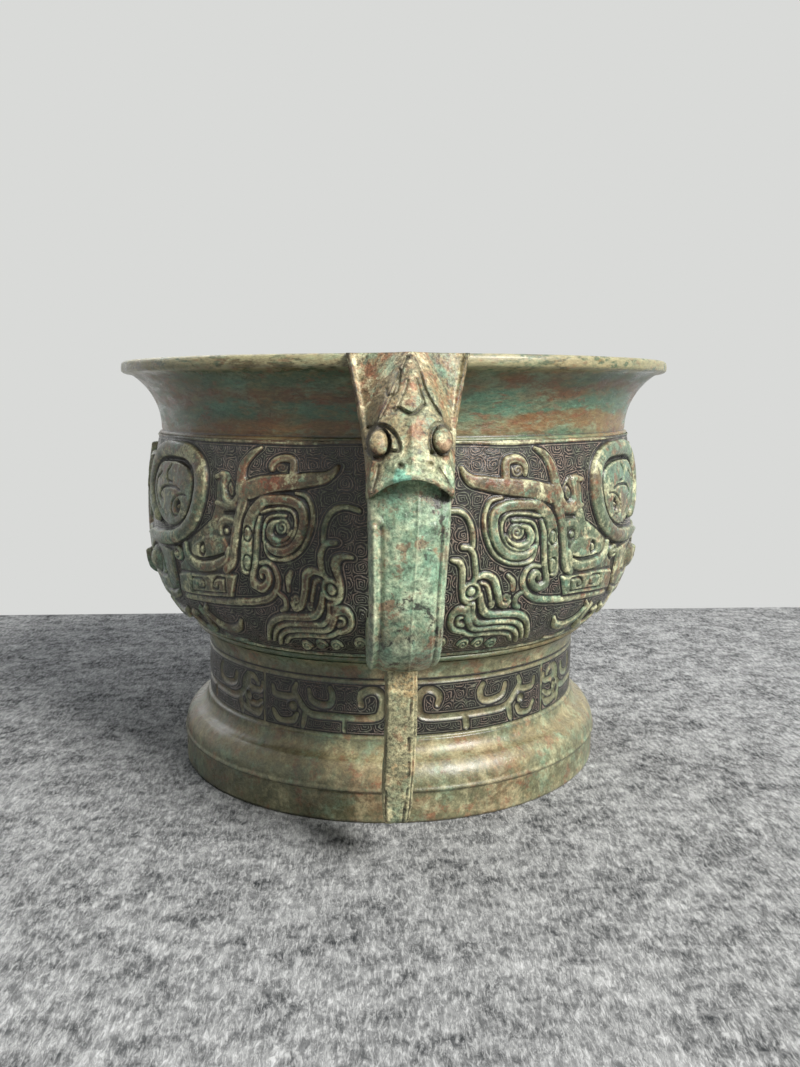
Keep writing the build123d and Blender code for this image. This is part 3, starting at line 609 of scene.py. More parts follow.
def draw_foot(f):
    """The foot's band of small dragons, from a handle's middle to a mask's middle."""
    f.stroke([(-4, 1.6), (60, 1.6), (114, 1.6)], 0.6, 0.9, wall=0.45, square=True)
    f.stroke([(-4, 20.2), (60, 20.2), (114, 20.2)], 0.6, 0.9, wall=0.45, square=True)
    low = dict(crown=0.35, wall=0.45)
    for at, hand in ((0, 1), (110.6, -1)):
        def w(points):
            return [(at + hand * q[0],) + tuple(q[1:]) for q in points]
        f.stroke(w([(13, 9.6, 1.4), (13.5, 6.8, 1.9), (11.6, 4.7, 2), (9, 4.4, 2), (7.1, 6.2, 2),
            (6.8, 10, 2), (7.8, 12.9, 2), (10.8, 13.8, 2), (18, 13.9, 2), (28, 13.8, 2),
            (36.5, 13.8, 2), (40.4, 12.2, 2), (42.9, 9.4, 1.9), (44.9, 6.8, 1.8),
            (44.2, 4.4, 1.3)]), 0.9, **low)
        f.stroke(w([(22.9, 14.2, 1.9), (23.1, 18, 1.7)]), 0.8, square=True, **low)
        f.stroke(w([(40, 13.4, 2), (40.6, 16.4, 1.8), (41.2, 18.2, 1.3)]), 0.8, **low)
        f.stroke(w([(29.3, 4.4, 1.4), (28.3, 6.6, 1.9), (28.8, 9.2, 1.9), (31, 10.2, 1.9),
            (34.6, 9.9, 1.9), (37.3, 8.6, 1.8), (38.2, 5.6, 1.3)]), 0.9, **low)
        f.boss(at + hand * 45.2, 11.8, 1.5, 1.1, ring=0.7)
        f.stroke(w([(44, 8.2, 1.7), (48.2, 9, 1.8), (51.6, 8.6, 1.6), (52.4, 6.2, 1.2)]), 0.8,
            **low)
        f.stroke(w([(44, 14.6, 1.6), (45.6, 16.8, 1.7), (50, 17.4, 1.5), (52.2, 14.6, 1.2)]), 0.8,
            **low)
    f.stroke([(60.8, 6.6, 1.3), (63.4, 4.6, 1.8), (67, 5.4, 2), (68.4, 9, 2), (66.6, 12.8, 2),
        (62, 14.2, 1.8), (58.6, 12.6, 1.2)], 0.9, **low)
    f.boss(64, 9.4, 1.1, 0.8)
    f.stroke([(60, 16.2, 1.3), (65, 16.9, 1.8), (70.2, 15.6, 1.7)], 0.8, **low)
    f.stroke([(56.8, 2.4), (57, 19.6)], 0.3, 0.6, wall=0.3)

draw_foot(foot_field)


def band_place(a):
    """Place along the band's pattern, which stands closer together on the front's left."""
    q = np.abs(((a + math.pi / 2) % math.pi) - math.pi / 2) * FOOT_NECK_R
    left = (np.sin(a) < 0) & (np.cos(a) > 0)
    seen_at = (0, 5, 12.8, 17.2, 21.5, 29.8, 35.5, 44.5, 51.5, 59, 68, 110.6)
    drawn_at = (0, 6.8, 13.4, 22.9, 28.2, 38.2, 45.2, 52.4, 61, 68.6, 76, 110.6)
    return np.where(left, np.interp(q, seen_at, drawn_at), q)


def foot_ring():
    """The ring foot as one turned skin, with the relief of its band."""
    columns = 1104
    a = np.linspace(0, 2 * math.pi, columns, endpoint=False)
    r, z = foot_line[:, 0][:, None], foot_line[:, 1][:, None]
    p = round_axis(r, z, a)
    n = grid_normals(p, close=True)
    u = band_place(a)[None, :] + 0.35 * noise(p, 13, 41)
    v = FOOT_TOP_Z - p[..., 2]
    outside = np.hypot(p[..., 0], p[..., 1]) > FOOT_NECK_R - 0.5
    relief = foot_field.sample(foot_field.height(), u, v) * outside
    relief = relief * (sstep(v, 0.1, 0.6) * (1 - sstep(v, 19.9, 20.4)))
    rough = 0.06 * noise(p, 8, 42) + 0.04 * noise(p, 2.4, 43) + 0.02 * noise(p, 1.0, 44)
    low = blur(relief, 5, wrap=True)
    band = (z < FOOT_TOP_Z - 0.2) & (z > FOOT_LOW_Z + 0.2) & (r > FOOT_NECK_R - 0.5)
    band = band * np.ones_like(relief)
    out = p + n * (relief + rough)[..., None]
    obj = make_mesh("foot_shell", out, grid_faces(len(foot_line), columns, close=True), {
        "flat": np.stack((u, v, 0 * v), 2), "proud": np.clip((relief - low) / 0.6, -1, 1),
        "ground": foot_field.sample(foot_field.ground, u, v) * band,
        "edge_mm": foot_field.sample(foot_field.edge, u, v), "band": band,
    })
    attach(obj, "root")
    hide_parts("ring_foot")
    return obj


foot = foot_ring()


# ---------------------------------------------------------------- beast heads
# Level sections of a head from the snout up: height, ears' half width and reach, brow's
# half width and reach, and the reach at the middle
HEAD = np.array([
    (109.0, 11.5, 121.0, 10.9, 125.0, 131.6),
    (115.0, 11.6, 120.0, 10.9, 124.6, 130.8),
    (119.0, 11.9, 117.0, 10.0, 123.8, 128.8),
    (124.0, 12.5, 111.0, 9.4, 121.6, 125.6),
    (130.0, 13.6, 106.2, 8.4, 117.6, 121.4),
    (136.0, 14.8, 102.6, 6.6, 113.6, 116.6),
    (142.0, 16.1, 100.6, 4.4, 109.6, 111.6),
    (147.4, 17.2, 99.4, 2.6, 105.6, 107.0),
])
HEAD_TOP, HEAD_DROP, CAP_Z, CAP_REACH = 147.2, 34.0, 147.38, 94.5
EYES = ((-8.3, 123.8, 3.05), (8.2, 124.4, 3.0))  # middle and radius of each
NOSTRILS = ((-3.1, 118.4), (4.4, 118.7))
# Incised lines of the face: depth, width and points of its front view
HEAD_CUTS = (
    (0.8, 0.5, [(-0.6, 145.8), (-2.6, 141.6), (-4.8, 136.4), (-7.8, 130.2), (-10.3, 126.8)]),
    (0.8, 0.5, [(0.8, 145.8), (2.4, 142.2), (4, 136.8), (6.5, 132.4), (8.7, 129.2)]),
    (0.9, 0.5, [(-2.7, 142.4), (-2.9, 139.6), (-3.5, 137), (-4.6, 135.8), (-6, 135.6),
                (-6.2, 137.4)]),
    (0.8, 0.45, [(-0.7, 139.6), (-2, 136), (-3.6, 132.8)]),
    (0.8, 0.45, [(1.6, 140), (2.4, 137), (3.4, 134.2)]),
    (1.3, 0.75, [(-4.4, 131.9), (-3, 132.3), (-1.4, 131.3), (0.2, 130.8), (1.7, 131.6),
                 (3.3, 133.4)]),
    (1.4, 0.65, [(-10.9, 127.2), (-9, 128), (-6.4, 127.8), (-4.3, 126), (-3.2, 123.4),
                 (-3.5, 121.7), (-5.8, 121.9)]),
    (1.0, 0.5, [(5, 121.2), (4.5, 124.4), (5.1, 127.4), (7, 128.7), (9.4, 128.2), (11, 126.6)]),
    (1.1, 0.6, [(-11.4, 121.6), (-9.6, 119.6), (-7.2, 119.8), (-5.9, 121.6)]),
    (1.1, 0.6, [(5, 121.4), (7.4, 120.6), (9.8, 121.2), (11, 123)]),
    (0.6, 0.45, [(-8.4, 118), (-9, 115.2), (-9.9, 112)]),
    (0.6, 0.45, [(6.8, 117.6), (8.6, 114.8), (10.2, 111.8)]),
)
outer_profile = np.vstack((neck_arc, lip[:6], belly_line))
outer_profile = outer_profile[np.argsort(outer_profile[:, 1])]


def envelope_reach(z):
    """Radius of the bowl's outer form at the height."""
    return np.interp(z, outer_profile[:, 1], outer_profile[:, 0])


def head_rows(z):
    return [np.interp(z, HEAD[:, 0], HEAD[:, i]) for i in range(1, 6)]


def head_front(x, z):
    """Reach of the head's carved front at each place of its front view, and its painted shade in the cut
    lines, round the eyes and in the nostrils.
    """
    half, ear_reach, brow_half, brow_reach, front_reach = head_rows(z)
    ax = np.abs(x)
    dome = brow_reach + (front_reach - brow_reach) * (1 - np.clip(ax / brow_half, 0, 1) ** 2)
    t = np.clip((ax - brow_half) / np.maximum(half - brow_half, 0.1), 0, 1)
    wing = brow_reach + (ear_reach - brow_reach) * t**0.8 - 1.3 * np.sin(np.pi * t)
    y = np.where(ax < brow_half, dome, wing)
    # Outer rim of the wings, from the mouth's corners down past the eyes
    y += 1.5 * hump(ax - (half - 0.8), 0.85) * (0.35 + 0.65 * sstep(z, 116, 124))

    def line_distance(points):
        line = smooth_line(points, 6) if len(points) > 2 else np.array(points, float)
        best = np.full(x.shape, 1e9)
        for a, b in zip(line, line[1:]):
            dx, dz = b[0] - a[0], b[1] - a[1]
            s = np.clip(((x - a[0]) * dx + (z - a[1]) * dz) / (dx * dx + dz * dz), 0, 1)
            best = np.minimum(best, np.hypot(x - a[0] - s * dx, z - a[1] - s * dz))
        return best

    dirt_and_shade = np.zeros(x.shape)
    for depth, width, points in HEAD_CUTS:
        d = line_distance(points)
        y -= depth * (1 - sstep(d, width * 0.2, width * 1.15))
        # Painted shade: the deeper a cut, the darker its line
        shade = min(0.3 + 0.6 * depth, 1.0)
        dirt_and_shade = np.maximum(dirt_and_shade, (1 - sstep(d, width * 0.35, width * 0.85)) * shade)
    # Edges of the forehead's panel and the nose ridge
    for s in (-1, 1):
        panel = [(0.2, 146.4), (s * 3.4, 141), (s * 5.6, 136.2), (s * 8.4, 130.6)]
        y += 0.7 * hump(line_distance(panel), 0.8)
    ridge = hump(x, 1.1) * sstep(z, 116.5, 120) * (1 - sstep(z, 129, 131.5))
    y += 0.9 * ridge + 0.5 * hump(x, 1.4) * sstep(z, 131, 134)
    for ex, ez, radius in EYES:
        d = np.hypot((x - ex) / 0.86, (z - ez) / 1.1)
        base = 121.6 + (z - ez) * -0.5
        ball = base + 2.6 * np.sqrt(np.clip(1 - (d / radius) ** 2, 0, 1))
        y = np.where(d < radius + 0.6, np.minimum(y, base - 0.8), y)
        y = np.where(d < radius, np.maximum(y, ball), y)
        # Painted shade in the sunken groove round each eyeball
        dirt_and_shade = np.where(d < radius + 0.7, sstep(d, radius - 0.45, radius), dirt_and_shade)
    for nx, nz in NOSTRILS:
        d = np.hypot((x - nx) / 1.9, (z - nz) / 1.5)
        y += 1.0 * hump(d, 1) - 1.7 * hump(d, 0.45)
        # Painted shade in the nostril holes
        dirt_and_shade = np.maximum(dirt_and_shade, 0.9 * hump(d, 0.4))
    # Swelling of the muzzle's corners and the edge of the upper lip
    for s in (-1, 1):
        y += 1.3 * hump(np.hypot((x - s * 9.4) / 2.0, (z - 112.0) / 2.6), 1)
    y += 0.9 * hump(z - (115.8 - 4.6 * (x / 10.6) ** 2), 0.9)
    return y, dirt_and_shade


def beast_head(name, node, turn, seed):
    """Front, sides and underside of one head as one skin round its handle's upper end."""
    n_across, n_side, n_down, n_under, n_cap = 131, 44, 150, 36, 14
    s = np.concatenate((np.full(n_side, -1.0), np.linspace(-1, 1, n_across), np.ones(n_side)))
    back = np.concatenate((
        np.linspace(1, 0, n_side, endpoint=False), np.zeros(n_across),
        np.linspace(0, 1, n_side + 1)[1:],
    ))
    S, T = np.meshgrid(s, np.linspace(0, 1, n_down))
    back = np.broadcast_to(back, S.shape)
    Z = HEAD_TOP - T * HEAD_DROP
    for _ in range(3):
        X = S * head_rows(Z)[0]
        z_low = 115.0 - 5.0 * np.clip(np.abs(X) / 10.6, 0, 1.08) ** 2
        Z = HEAD_TOP + T * (z_low - HEAD_TOP)
    X = S * head_rows(Z)[0]
    R, dirt_and_shade = head_front(X, Z)
    R = R + back * (envelope_reach(Z) - 1.0 - R)
    # Sides: soft corner behind the wing's rim, a raised ear and a curled horn
    narrow = 0.10 * sstep(back, 0.0, 0.12) - 0.03 * sstep(back, 0.3, 0.9)
    X = X * (1 - narrow * (1 - sstep(Z, 142.5, 146.0)))
    ear_r = np.hypot((R - 106) / 7.6, (Z - 126) / 6.0)
    ear = 1.3 * (1 - sstep(ear_r, 0.75, 1.0)) - 1.0 * hump(ear_r - 0.52, 0.10)
    horn = hump(np.hypot(R - 97, Z - 139) - 5.0, 1.1)
    on_side = sstep(back, 0.10, 0.22) * (1 - sstep(back, 0.9, 1.0))
    X = X + np.sign(S) * (ear + 0.9 * horn) * on_side
    front = np.stack((X, -R, Z), 2)
    # Underside: from the lip's edge back to the belly
    k = np.linspace(0, 1, n_under + 1)[1:, None]
    edge = front[-1]
    under_z = edge[:, 2] + 0 * k
    under_z = under_z + (110.9 - under_z) * sstep(k, 0.08, 0.5)
    target = np.minimum(envelope_reach(under_z) - 1.0, -edge[:, 1])
    reach = -edge[:, 1] + (target + edge[:, 1]) * k
    p = np.vstack((front, np.stack((edge[:, 0] * (1 - 0.03 * k), -reach, under_z), 2)))
    fade = np.ones(p.shape[:2])
    fade[n_down - 2:n_down + 2] = 0.3
    q = p + seed
    rough = 0.10 * noise(q, 5.0, 51) + 0.10 * noise(q, 2.0, 52) + 0.08 * noise(q, 0.9, 53)
    p = p - grid_normals(p) * (rough * fade)[..., None]
    # Flat top, level with the rim
    x, y = p[0, :, 0], p[0, :, 1]
    cap = np.stack([
        np.stack((x * (1 - 0.02 * c), y + (-CAP_REACH - y) * c, CAP_Z + 0 * x), 1)
        for c in np.linspace(1, 0.02, n_cap)
    ])
    cap[..., 1] = np.maximum(cap[..., 1], y[None, :])
    p = np.vstack((cap, p))
    if turn:
        p = p * np.array((-1, -1, 1))
    R = np.pad(R, ((n_cap, n_under), (0, 0)), mode="edge")
    # Painted shade of the cut lines, eyes and nostrils, on the front only
    dirt_and_shade = np.pad(dirt_and_shade * (back < 0.02), ((n_cap, n_under), (0, 0)))
    obj = make_mesh(name, p, grid_faces(*p.shape[:2]), {
        "proud": np.clip((R - blur(R, 6)) / 0.9, -1, 1), "dirt_and_shade": dirt_and_shade,
    })
    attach(obj, "root")
    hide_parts(node)
    return obj


heads = [
    beast_head("head_shell_front", "beast_head_front", False, 0.0),
    beast_head("head_shell_back", "beast_head_back", True, 40.0),
]


# ---------------------------------------------------------------- handle straps
def strap_line(step):
    """The strap's middle line as reach and height, with its outward direction."""
    a = np.radians(np.linspace(UPPER_ANGLE, 0, 40))
    b = np.radians(np.linspace(0, -90, 50))
    bends = [
        np.stack((reach - radius + radius * np.cos(t), z + radius * np.sin(t)), 1)
        for reach, z, radius, t in (
            (STRAP_REACH, WAIST_Z, UPPER_R, a), (STRAP_REACH, BOTTOM_Z - SAG + LOWER_R, LOWER_R, b),
        )
    ]
    line = resample(np.vstack((*bends, [(BELLY_FOOT_R + 6, BOTTOM_Z - 0.4 * SAG)])), step)
    d = np.gradient(line, axis=0)
    d /= np.linalg.norm(d, axis=1, keepdims=True)
    return line, np.stack((-d[:, 1], d[:, 0]), 1)


def strap_mesh(name, node, turn, seed):
    """A strap with a crowned face, a bead along its left edge, a seam and casting pits."""
    line, out = strap_line(0.42)
    half, face = STRAP_W / 2, STRAP_T / 2
    # Section as places across and out. The 70 places of the crown get their height below.
    rim = [(-half, 0.2), (-half, 1.4), (-half + 0.12, 2.0)]
    crown_x = np.linspace(-half + 0.5, half - 0.5, 70)
    section = rim + [(x, 0.0) for x in crown_x] + [(-x, n) for x, n in rim[::-1]]
    section += [(half, n) for n in np.linspace(-0.4, -face + 0.9, 9)]
    section += [(half - 0.3, -face + 0.25)]
    section += [(x, -face) for x in np.linspace(half - 0.9, -half + 0.9, 40)]
    section += [(-half + 0.3, -face + 0.25)]
    section += [(-half, n) for n in np.linspace(-face + 0.9, -0.4, 9)]
    across, outward = np.array(section).T
    on_crown = slice(len(rim), len(rim) + len(crown_x))
    length = lengths_along(line)
    bead = sstep(length, 13.5, 15.5) * (1 - sstep(length, length[-1] - 36, length[-1] - 26))
    bead, along = bead[:, None], length[:, None]
    crown = face - 2.3 * np.abs(across / half) ** 2.3
    crown = crown + bead * (1.05 * hump(across + half - 1.25, 0.85)
                            - 0.55 * hump(across + half - 3.1, 0.6))
    crown = crown - (0.15 + 0.5 * bead) * hump(across - half + 2.0, 0.45)
    crown = crown + 0.22 * hump(across - 1.6 - 0.3 * np.sin(along / 9), 0.3)
    outward = outward + 0 * along
    outward[:, on_crown] = crown[:, on_crown]
    z = line[:, 1]
    wide = 1 + 0.11 * sstep(z, 78, 112) + 0.02 * (1 - sstep(z, 64, 80))
    p = np.stack((across * wide[:, None], -(line[:, 0][:, None] + outward * out[:, 0][:, None]),
                  line[:, 1][:, None] + outward * out[:, 1][:, None]), 2)
    # Knob at the top of the bead
    at = np.argmin(np.abs(length - 14.0))
    knob_r, knob_z = line[at] + (face - 0.6) * out[at]
    d = np.linalg.norm(p - np.array(((1.5 - half) * wide[at], -knob_r, knob_z)), axis=2)
    lift = 1.1 * np.sqrt(np.clip(1 - (d / 2.2) ** 2, 0, 1))
    p[..., 1] -= lift * out[:, 0][:, None]
    p[..., 2] += lift * out[:, 1][:, None]
    q = p + seed
    pits = np.clip(noise(q, 1.1, 63) - 0.55, 0, 1) * np.clip(noise(q, 6, 64) + 0.2, 0, 1)
    rough = 0.10 * noise(q, 7, 61) + 0.05 * noise(q, 2.0, 62) + 0.03 * noise(q, 0.9, 65)
    p = p + grid_normals(p, close=True) * (rough - 1.2 * pits)[..., None]
    # The lower arm ends inside the belly's wall
    reach = np.hypot(p[..., 0], p[..., 1])
    p[..., :2] *= (np.maximum(reach, envelope_reach(p[..., 2]) - 2.0) / reach)[..., None]
    p[..., 0] -= OWN_LEAN * np.clip(OWN_LEAN_FROM_Z - p[..., 2], 0, None)
    if turn:
        p = p * np.array((-1, -1, 1))
    quads = grid_faces(*p.shape[:2], close=True, flip=True)
    # The sunken pits are darkened: painted shade in them
    obj = make_mesh(name, p, quads, {"dirt_and_shade": np.clip(3.0 * pits, 0, 1)})
    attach(obj, "root")
    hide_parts(node)
    return obj


straps = [
    strap_mesh("strap_front", "handle_front", False, 0.0),
    strap_mesh("strap_back", "handle_back", True, 30.0),
]


# ---------------------------------------------------------------- pendants
PENDANT_T, PENDANT_FOOT_Z = 8.4, 15.0
# Side outline as reach and height
PENDANT = [
    (96.5, 63.0), (116.4, 63.0), (117.2, 56.0), (117.0, 46.0), (115.6, 32.0), (113.5, 17.4),
    (111.9, 15.6), (101.0, 15.0), (98.4, 17.4), (96.7, 28.4), (98.0, 30.6), (103.3, 32.6),
    (104.0, 36.0), (103.4, 42.0), (97.4, 45.0), (96.5, 47.4),
]


def pendant_mesh(name, node, turn, seed):
    """A plate with its side outline, softened edges and a granular surface."""
    half, n, way = PENDANT_T / 2, len(PENDANT), 1 if turn else -1
    verts = [(side * way * half, way * r, z) for side in (1, -1) for r, z in PENDANT]
    faces = [list(range(n))[::-1], list(range(n, 2 * n))]
    faces += [(i, (i + 1) % n, n + (i + 1) % n, n + i) for i in range(n)]
    mesh = bpy.data.meshes.new(name)
    mesh.from_pydata([tuple(c * MM for c in v) for v in verts], [], faces)
    obj = bpy.data.objects.new(name, mesh)
    scene.collection.objects.link(obj)
    bevel = obj.modifiers.new("edges", "BEVEL")
    bevel.width = 0.9 * MM
    bevel.segments = 3
    bevel.limit_method = "ANGLE"
    remesh = obj.modifiers.new("skin", "REMESH")
    remesh.mode = "VOXEL"
    remesh.voxel_size = 0.42 * MM
    graph = bpy.context.evaluated_depsgraph_get()
    fine = bpy.data.meshes.new_from_object(obj.evaluated_get(graph))
    obj.modifiers.clear()
    obj.data = fine
    co, nor = (np.empty(len(fine.vertices) * 3, np.float32) for _ in range(2))
    fine.vertices.foreach_get("co", co)
    fine.vertices.foreach_get("normal", nor)
    co, nor = (values.reshape(-1, 3).astype(float) for values in (co, nor))
    q = co / MM + seed
    rough = 0.16 * noise(q, 4.5, 71) + 0.15 * noise(q, 1.8, 72) + 0.09 * noise(q, 0.8, 73)
    # Dirt and painted shade in a shallow groove along the rim of its face, and painted shade in a crack down
    # the right
    w, z = -way * co[:, 0] / MM, co[:, 2] / MM
    to_side = np.minimum(half - w, (half + w) + 20 * sstep(z, 26, 34))
    to_foot = z - (PENDANT_FOOT_Z + 0.2)
    rim = np.where(np.minimum(to_side, to_foot) < 0.95, 1.0, 0.0)
    crack = hump(w - 2.3 - 0.3 * np.sin(z / 4.0), 0.32) * (noise(q, 2.2, 74) > -0.25)
    facing = sstep(way * nor[:, 1], 0.4, 0.8)
    rim_dirt_and_shade = 0.8 * rim * (noise(q, 2.6, 75) > -0.3) * (1 - sstep(z, 30, 40))
    dirt_and_shade = facing * np.clip(rim_dirt_and_shade + crack, 0, 1)
    rough = rough - 0.5 * facing * np.clip(rim + crack, 0, 1)
    co = leaning((co + nor * (rough * MM)[:, None]) / MM) * MM
    # It tapers at its foot and follows its handle's lean
    taper = 1 - 0.16 * (1 - sstep(z, PENDANT_FOOT_Z, 24))
    follow = way * (OWN_LEAN * (OWN_LEAN_FROM_Z - z) + 0.2) + 0.4 * np.sin((z - 20) * 0.07)
    co[:, 0] = co[:, 0] * taper + follow * MM
    mark = fine.attributes.new("dirt_and_shade", "FLOAT", "POINT")
    mark.data.foreach_set("value", dirt_and_shade.astype(np.float32))
    fine.vertices.foreach_set("co", co.ravel().astype(np.float32))
    fine.polygons.foreach_set("use_smooth", np.ones(len(fine.polygons), bool))
    fine.update()
    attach(obj, "root")
    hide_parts(node)
    return obj


pendants = [
    pendant_mesh("pendant_plate_front", "pendant_front", False, 0.0),
    pendant_mesh("pendant_plate_back", "pendant_back", True, 25.0),
]


# ---------------------------------------------------------------- materials
def rgb(r, g, b):
    """A linear colour from display values of 0 to 255."""
    def lin(c):
        c /= 255
        return c / 12.92 if c <= 0.04045 else ((c + 0.055) / 1.055) ** 2.4
    return (lin(r), lin(g), lin(b), 1.0)


class Nodes:
    """A short way to write a node tree."""

    def __init__(self, tree):
        self.tree = tree
        tree.nodes.clear()

    def put(self, socket, value):
        if isinstance(value, bpy.types.NodeSocket):
            self.tree.links.new(value, socket)
        else:
            socket.default_value = value

    def node(self, kind, inputs=(), **props):
        n = self.tree.nodes.new(kind)
        for k, v in props.items():
            setattr(n, k, v)
        for k, v in dict(inputs).items():
            self.put(n.inputs[k], v)
        return n

    def math(self, op, a, b=0.0, c=0.0, clamp=False):
        n = self.node("ShaderNodeMath", {0: a, 1: b, 2: c}, operation=op, use_clamp=clamp)
        return n.outputs[0]

    def add(self, a, b):
        return self.math("ADD", a, b)

    def mul(self, a, b, clamp=False):
        return self.math("MULTIPLY", a, b, clamp=clamp)

    def mul_add(self, a, b, c):
        return self.math("MULTIPLY_ADD", a, b, c)

    def invert(self, a):
        return self.math("SUBTRACT", 1.0, a)

    def wave(self, x):
        """Falls from 1 to 0 and rises back to 1 over each whole number."""
        return self.math("ABSOLUTE", self.mul_add(self.math("FRACT", x), 2.0, -1.0))

    def vector(self, op, inputs, out="Vector"):
        return self.node("ShaderNodeVectorMath", inputs, operation=op).outputs[out]


class Shader(Nodes):
    """A material with one principled shader."""

    def __init__(self, name):
        self.mat = bpy.data.materials.new(name)
        self.mat.use_nodes = True
        super().__init__(self.mat.node_tree)
        self.bsdf = self.node("ShaderNodeBsdfPrincipled")
        self.node("ShaderNodeOutputMaterial", {0: self.bsdf.outputs[0]})
        self.place = self.node("ShaderNodeTexCoord").outputs["Object"]
        self.coords = self.place

    def surface(self, **values):
        for key, value in values.items():
            self.put(self.bsdf.inputs[key.replace("_", " ")], value)

    def mix(self, fac, a, b):
        return self.node("ShaderNodeMix", {0: fac, 6: a, 7: b}, data_type="RGBA").outputs[2]

    def ramp(self, x, lo, hi):
        """0 below lo and 1 above hi, smooth between."""
        inputs = {0: x, 1: lo, 2: hi, 3: 0.0, 4: 1.0}
        n = self.node("ShaderNodeMapRange", inputs, interpolation_type="SMOOTHSTEP", clamp=True)
        return n.outputs[0]

    def noise(self, scale, detail=4.0, rough=0.55, distortion=0.0, at=None, seed=0.0):
        at = self.coords if at is None else at
        return self.node("ShaderNodeTexNoise", {
            "Vector": self.vector("ADD", {0: at, 1: (seed, seed * 0.7, -seed)}),
            "Scale": scale, "Detail": detail, "Roughness": rough, "Distortion": distortion,
        }).outputs[0]

    def attribute(self, name, out="Fac"):
        return self.node("ShaderNodeAttribute", attribute_name=name).outputs[out]

    def bump(self, height, distance, strength=1.0, normal=None):
        inputs = {"Height": height, "Distance": distance, "Strength": strength}
        if normal is not None:
            inputs["Normal"] = normal
        return self.node("ShaderNodeBump", inputs).outputs[0]


def spirals(s, cell, turns, seed):
    """Lines of the thunder pattern: square spirals in cells, and lines along the relief."""
    flat = s.attribute("flat", "Vector")
    shake = s.node("ShaderNodeTexNoise", {"Vector": flat, "Scale": 0.25, "Detail": 2.0}).outputs[1]
    moved = s.vector("SUBTRACT", {0: shake, 1: (0.5, 0.5, 0.5)})
    flat = s.vector("MULTIPLY_ADD", {0: moved, 1: (3.0, 3.0, 0.0), 2: flat})
    sep = s.node("ShaderNodeSeparateXYZ", {0: flat})
    u, v = (s.math("DIVIDE", sep.outputs[i], cell) for i in (0, 1))
    v = s.add(v, seed)
    x, y = (s.math("SUBTRACT", s.math("FRACT", c), 0.5) for c in (u, v))
    far = s.math("MAXIMUM", s.math("ABSOLUTE", x), s.math("ABSOLUTE", y))
    near = s.math("SQRT", s.add(s.mul(x, x), s.mul(y, y)))
    d = s.add(s.mul(far, 1.1), s.mul(near, 0.9))
    parity = s.math("PINGPONG", s.add(s.math("FLOOR", u), s.math("FLOOR", v)), 1.0)
    hand = s.mul_add(parity, 2.0, -1.0)
    angle = s.math("DIVIDE", s.math("ARCTAN2", y, x), 2 * math.pi)
    coil = s.wave(s.mul_add(angle, hand, s.mul(d, turns)))
    edge = s.attribute("edge_mm")
    follow = s.wave(s.math("DIVIDE", edge, 0.92))
    beside = s.math("LESS_THAN", edge, 1.38)
    lines = s.add(s.mul(follow, beside), s.mul(coil, s.invert(beside)))
    return s.ramp(lines, 0.38, 0.8)


TEAL, RUST, MINT = rgb(112, 160, 136), rgb(126, 66, 42), rgb(122, 176, 152)
LIP_CRUST = rgb(178, 168, 130)
LINE_WARM, LINE_COOL = rgb(150, 132, 120), rgb(112, 116, 100)
GROUND_DARK, GROUND_DUST = rgb(15, 12, 12), rgb(140, 146, 120)


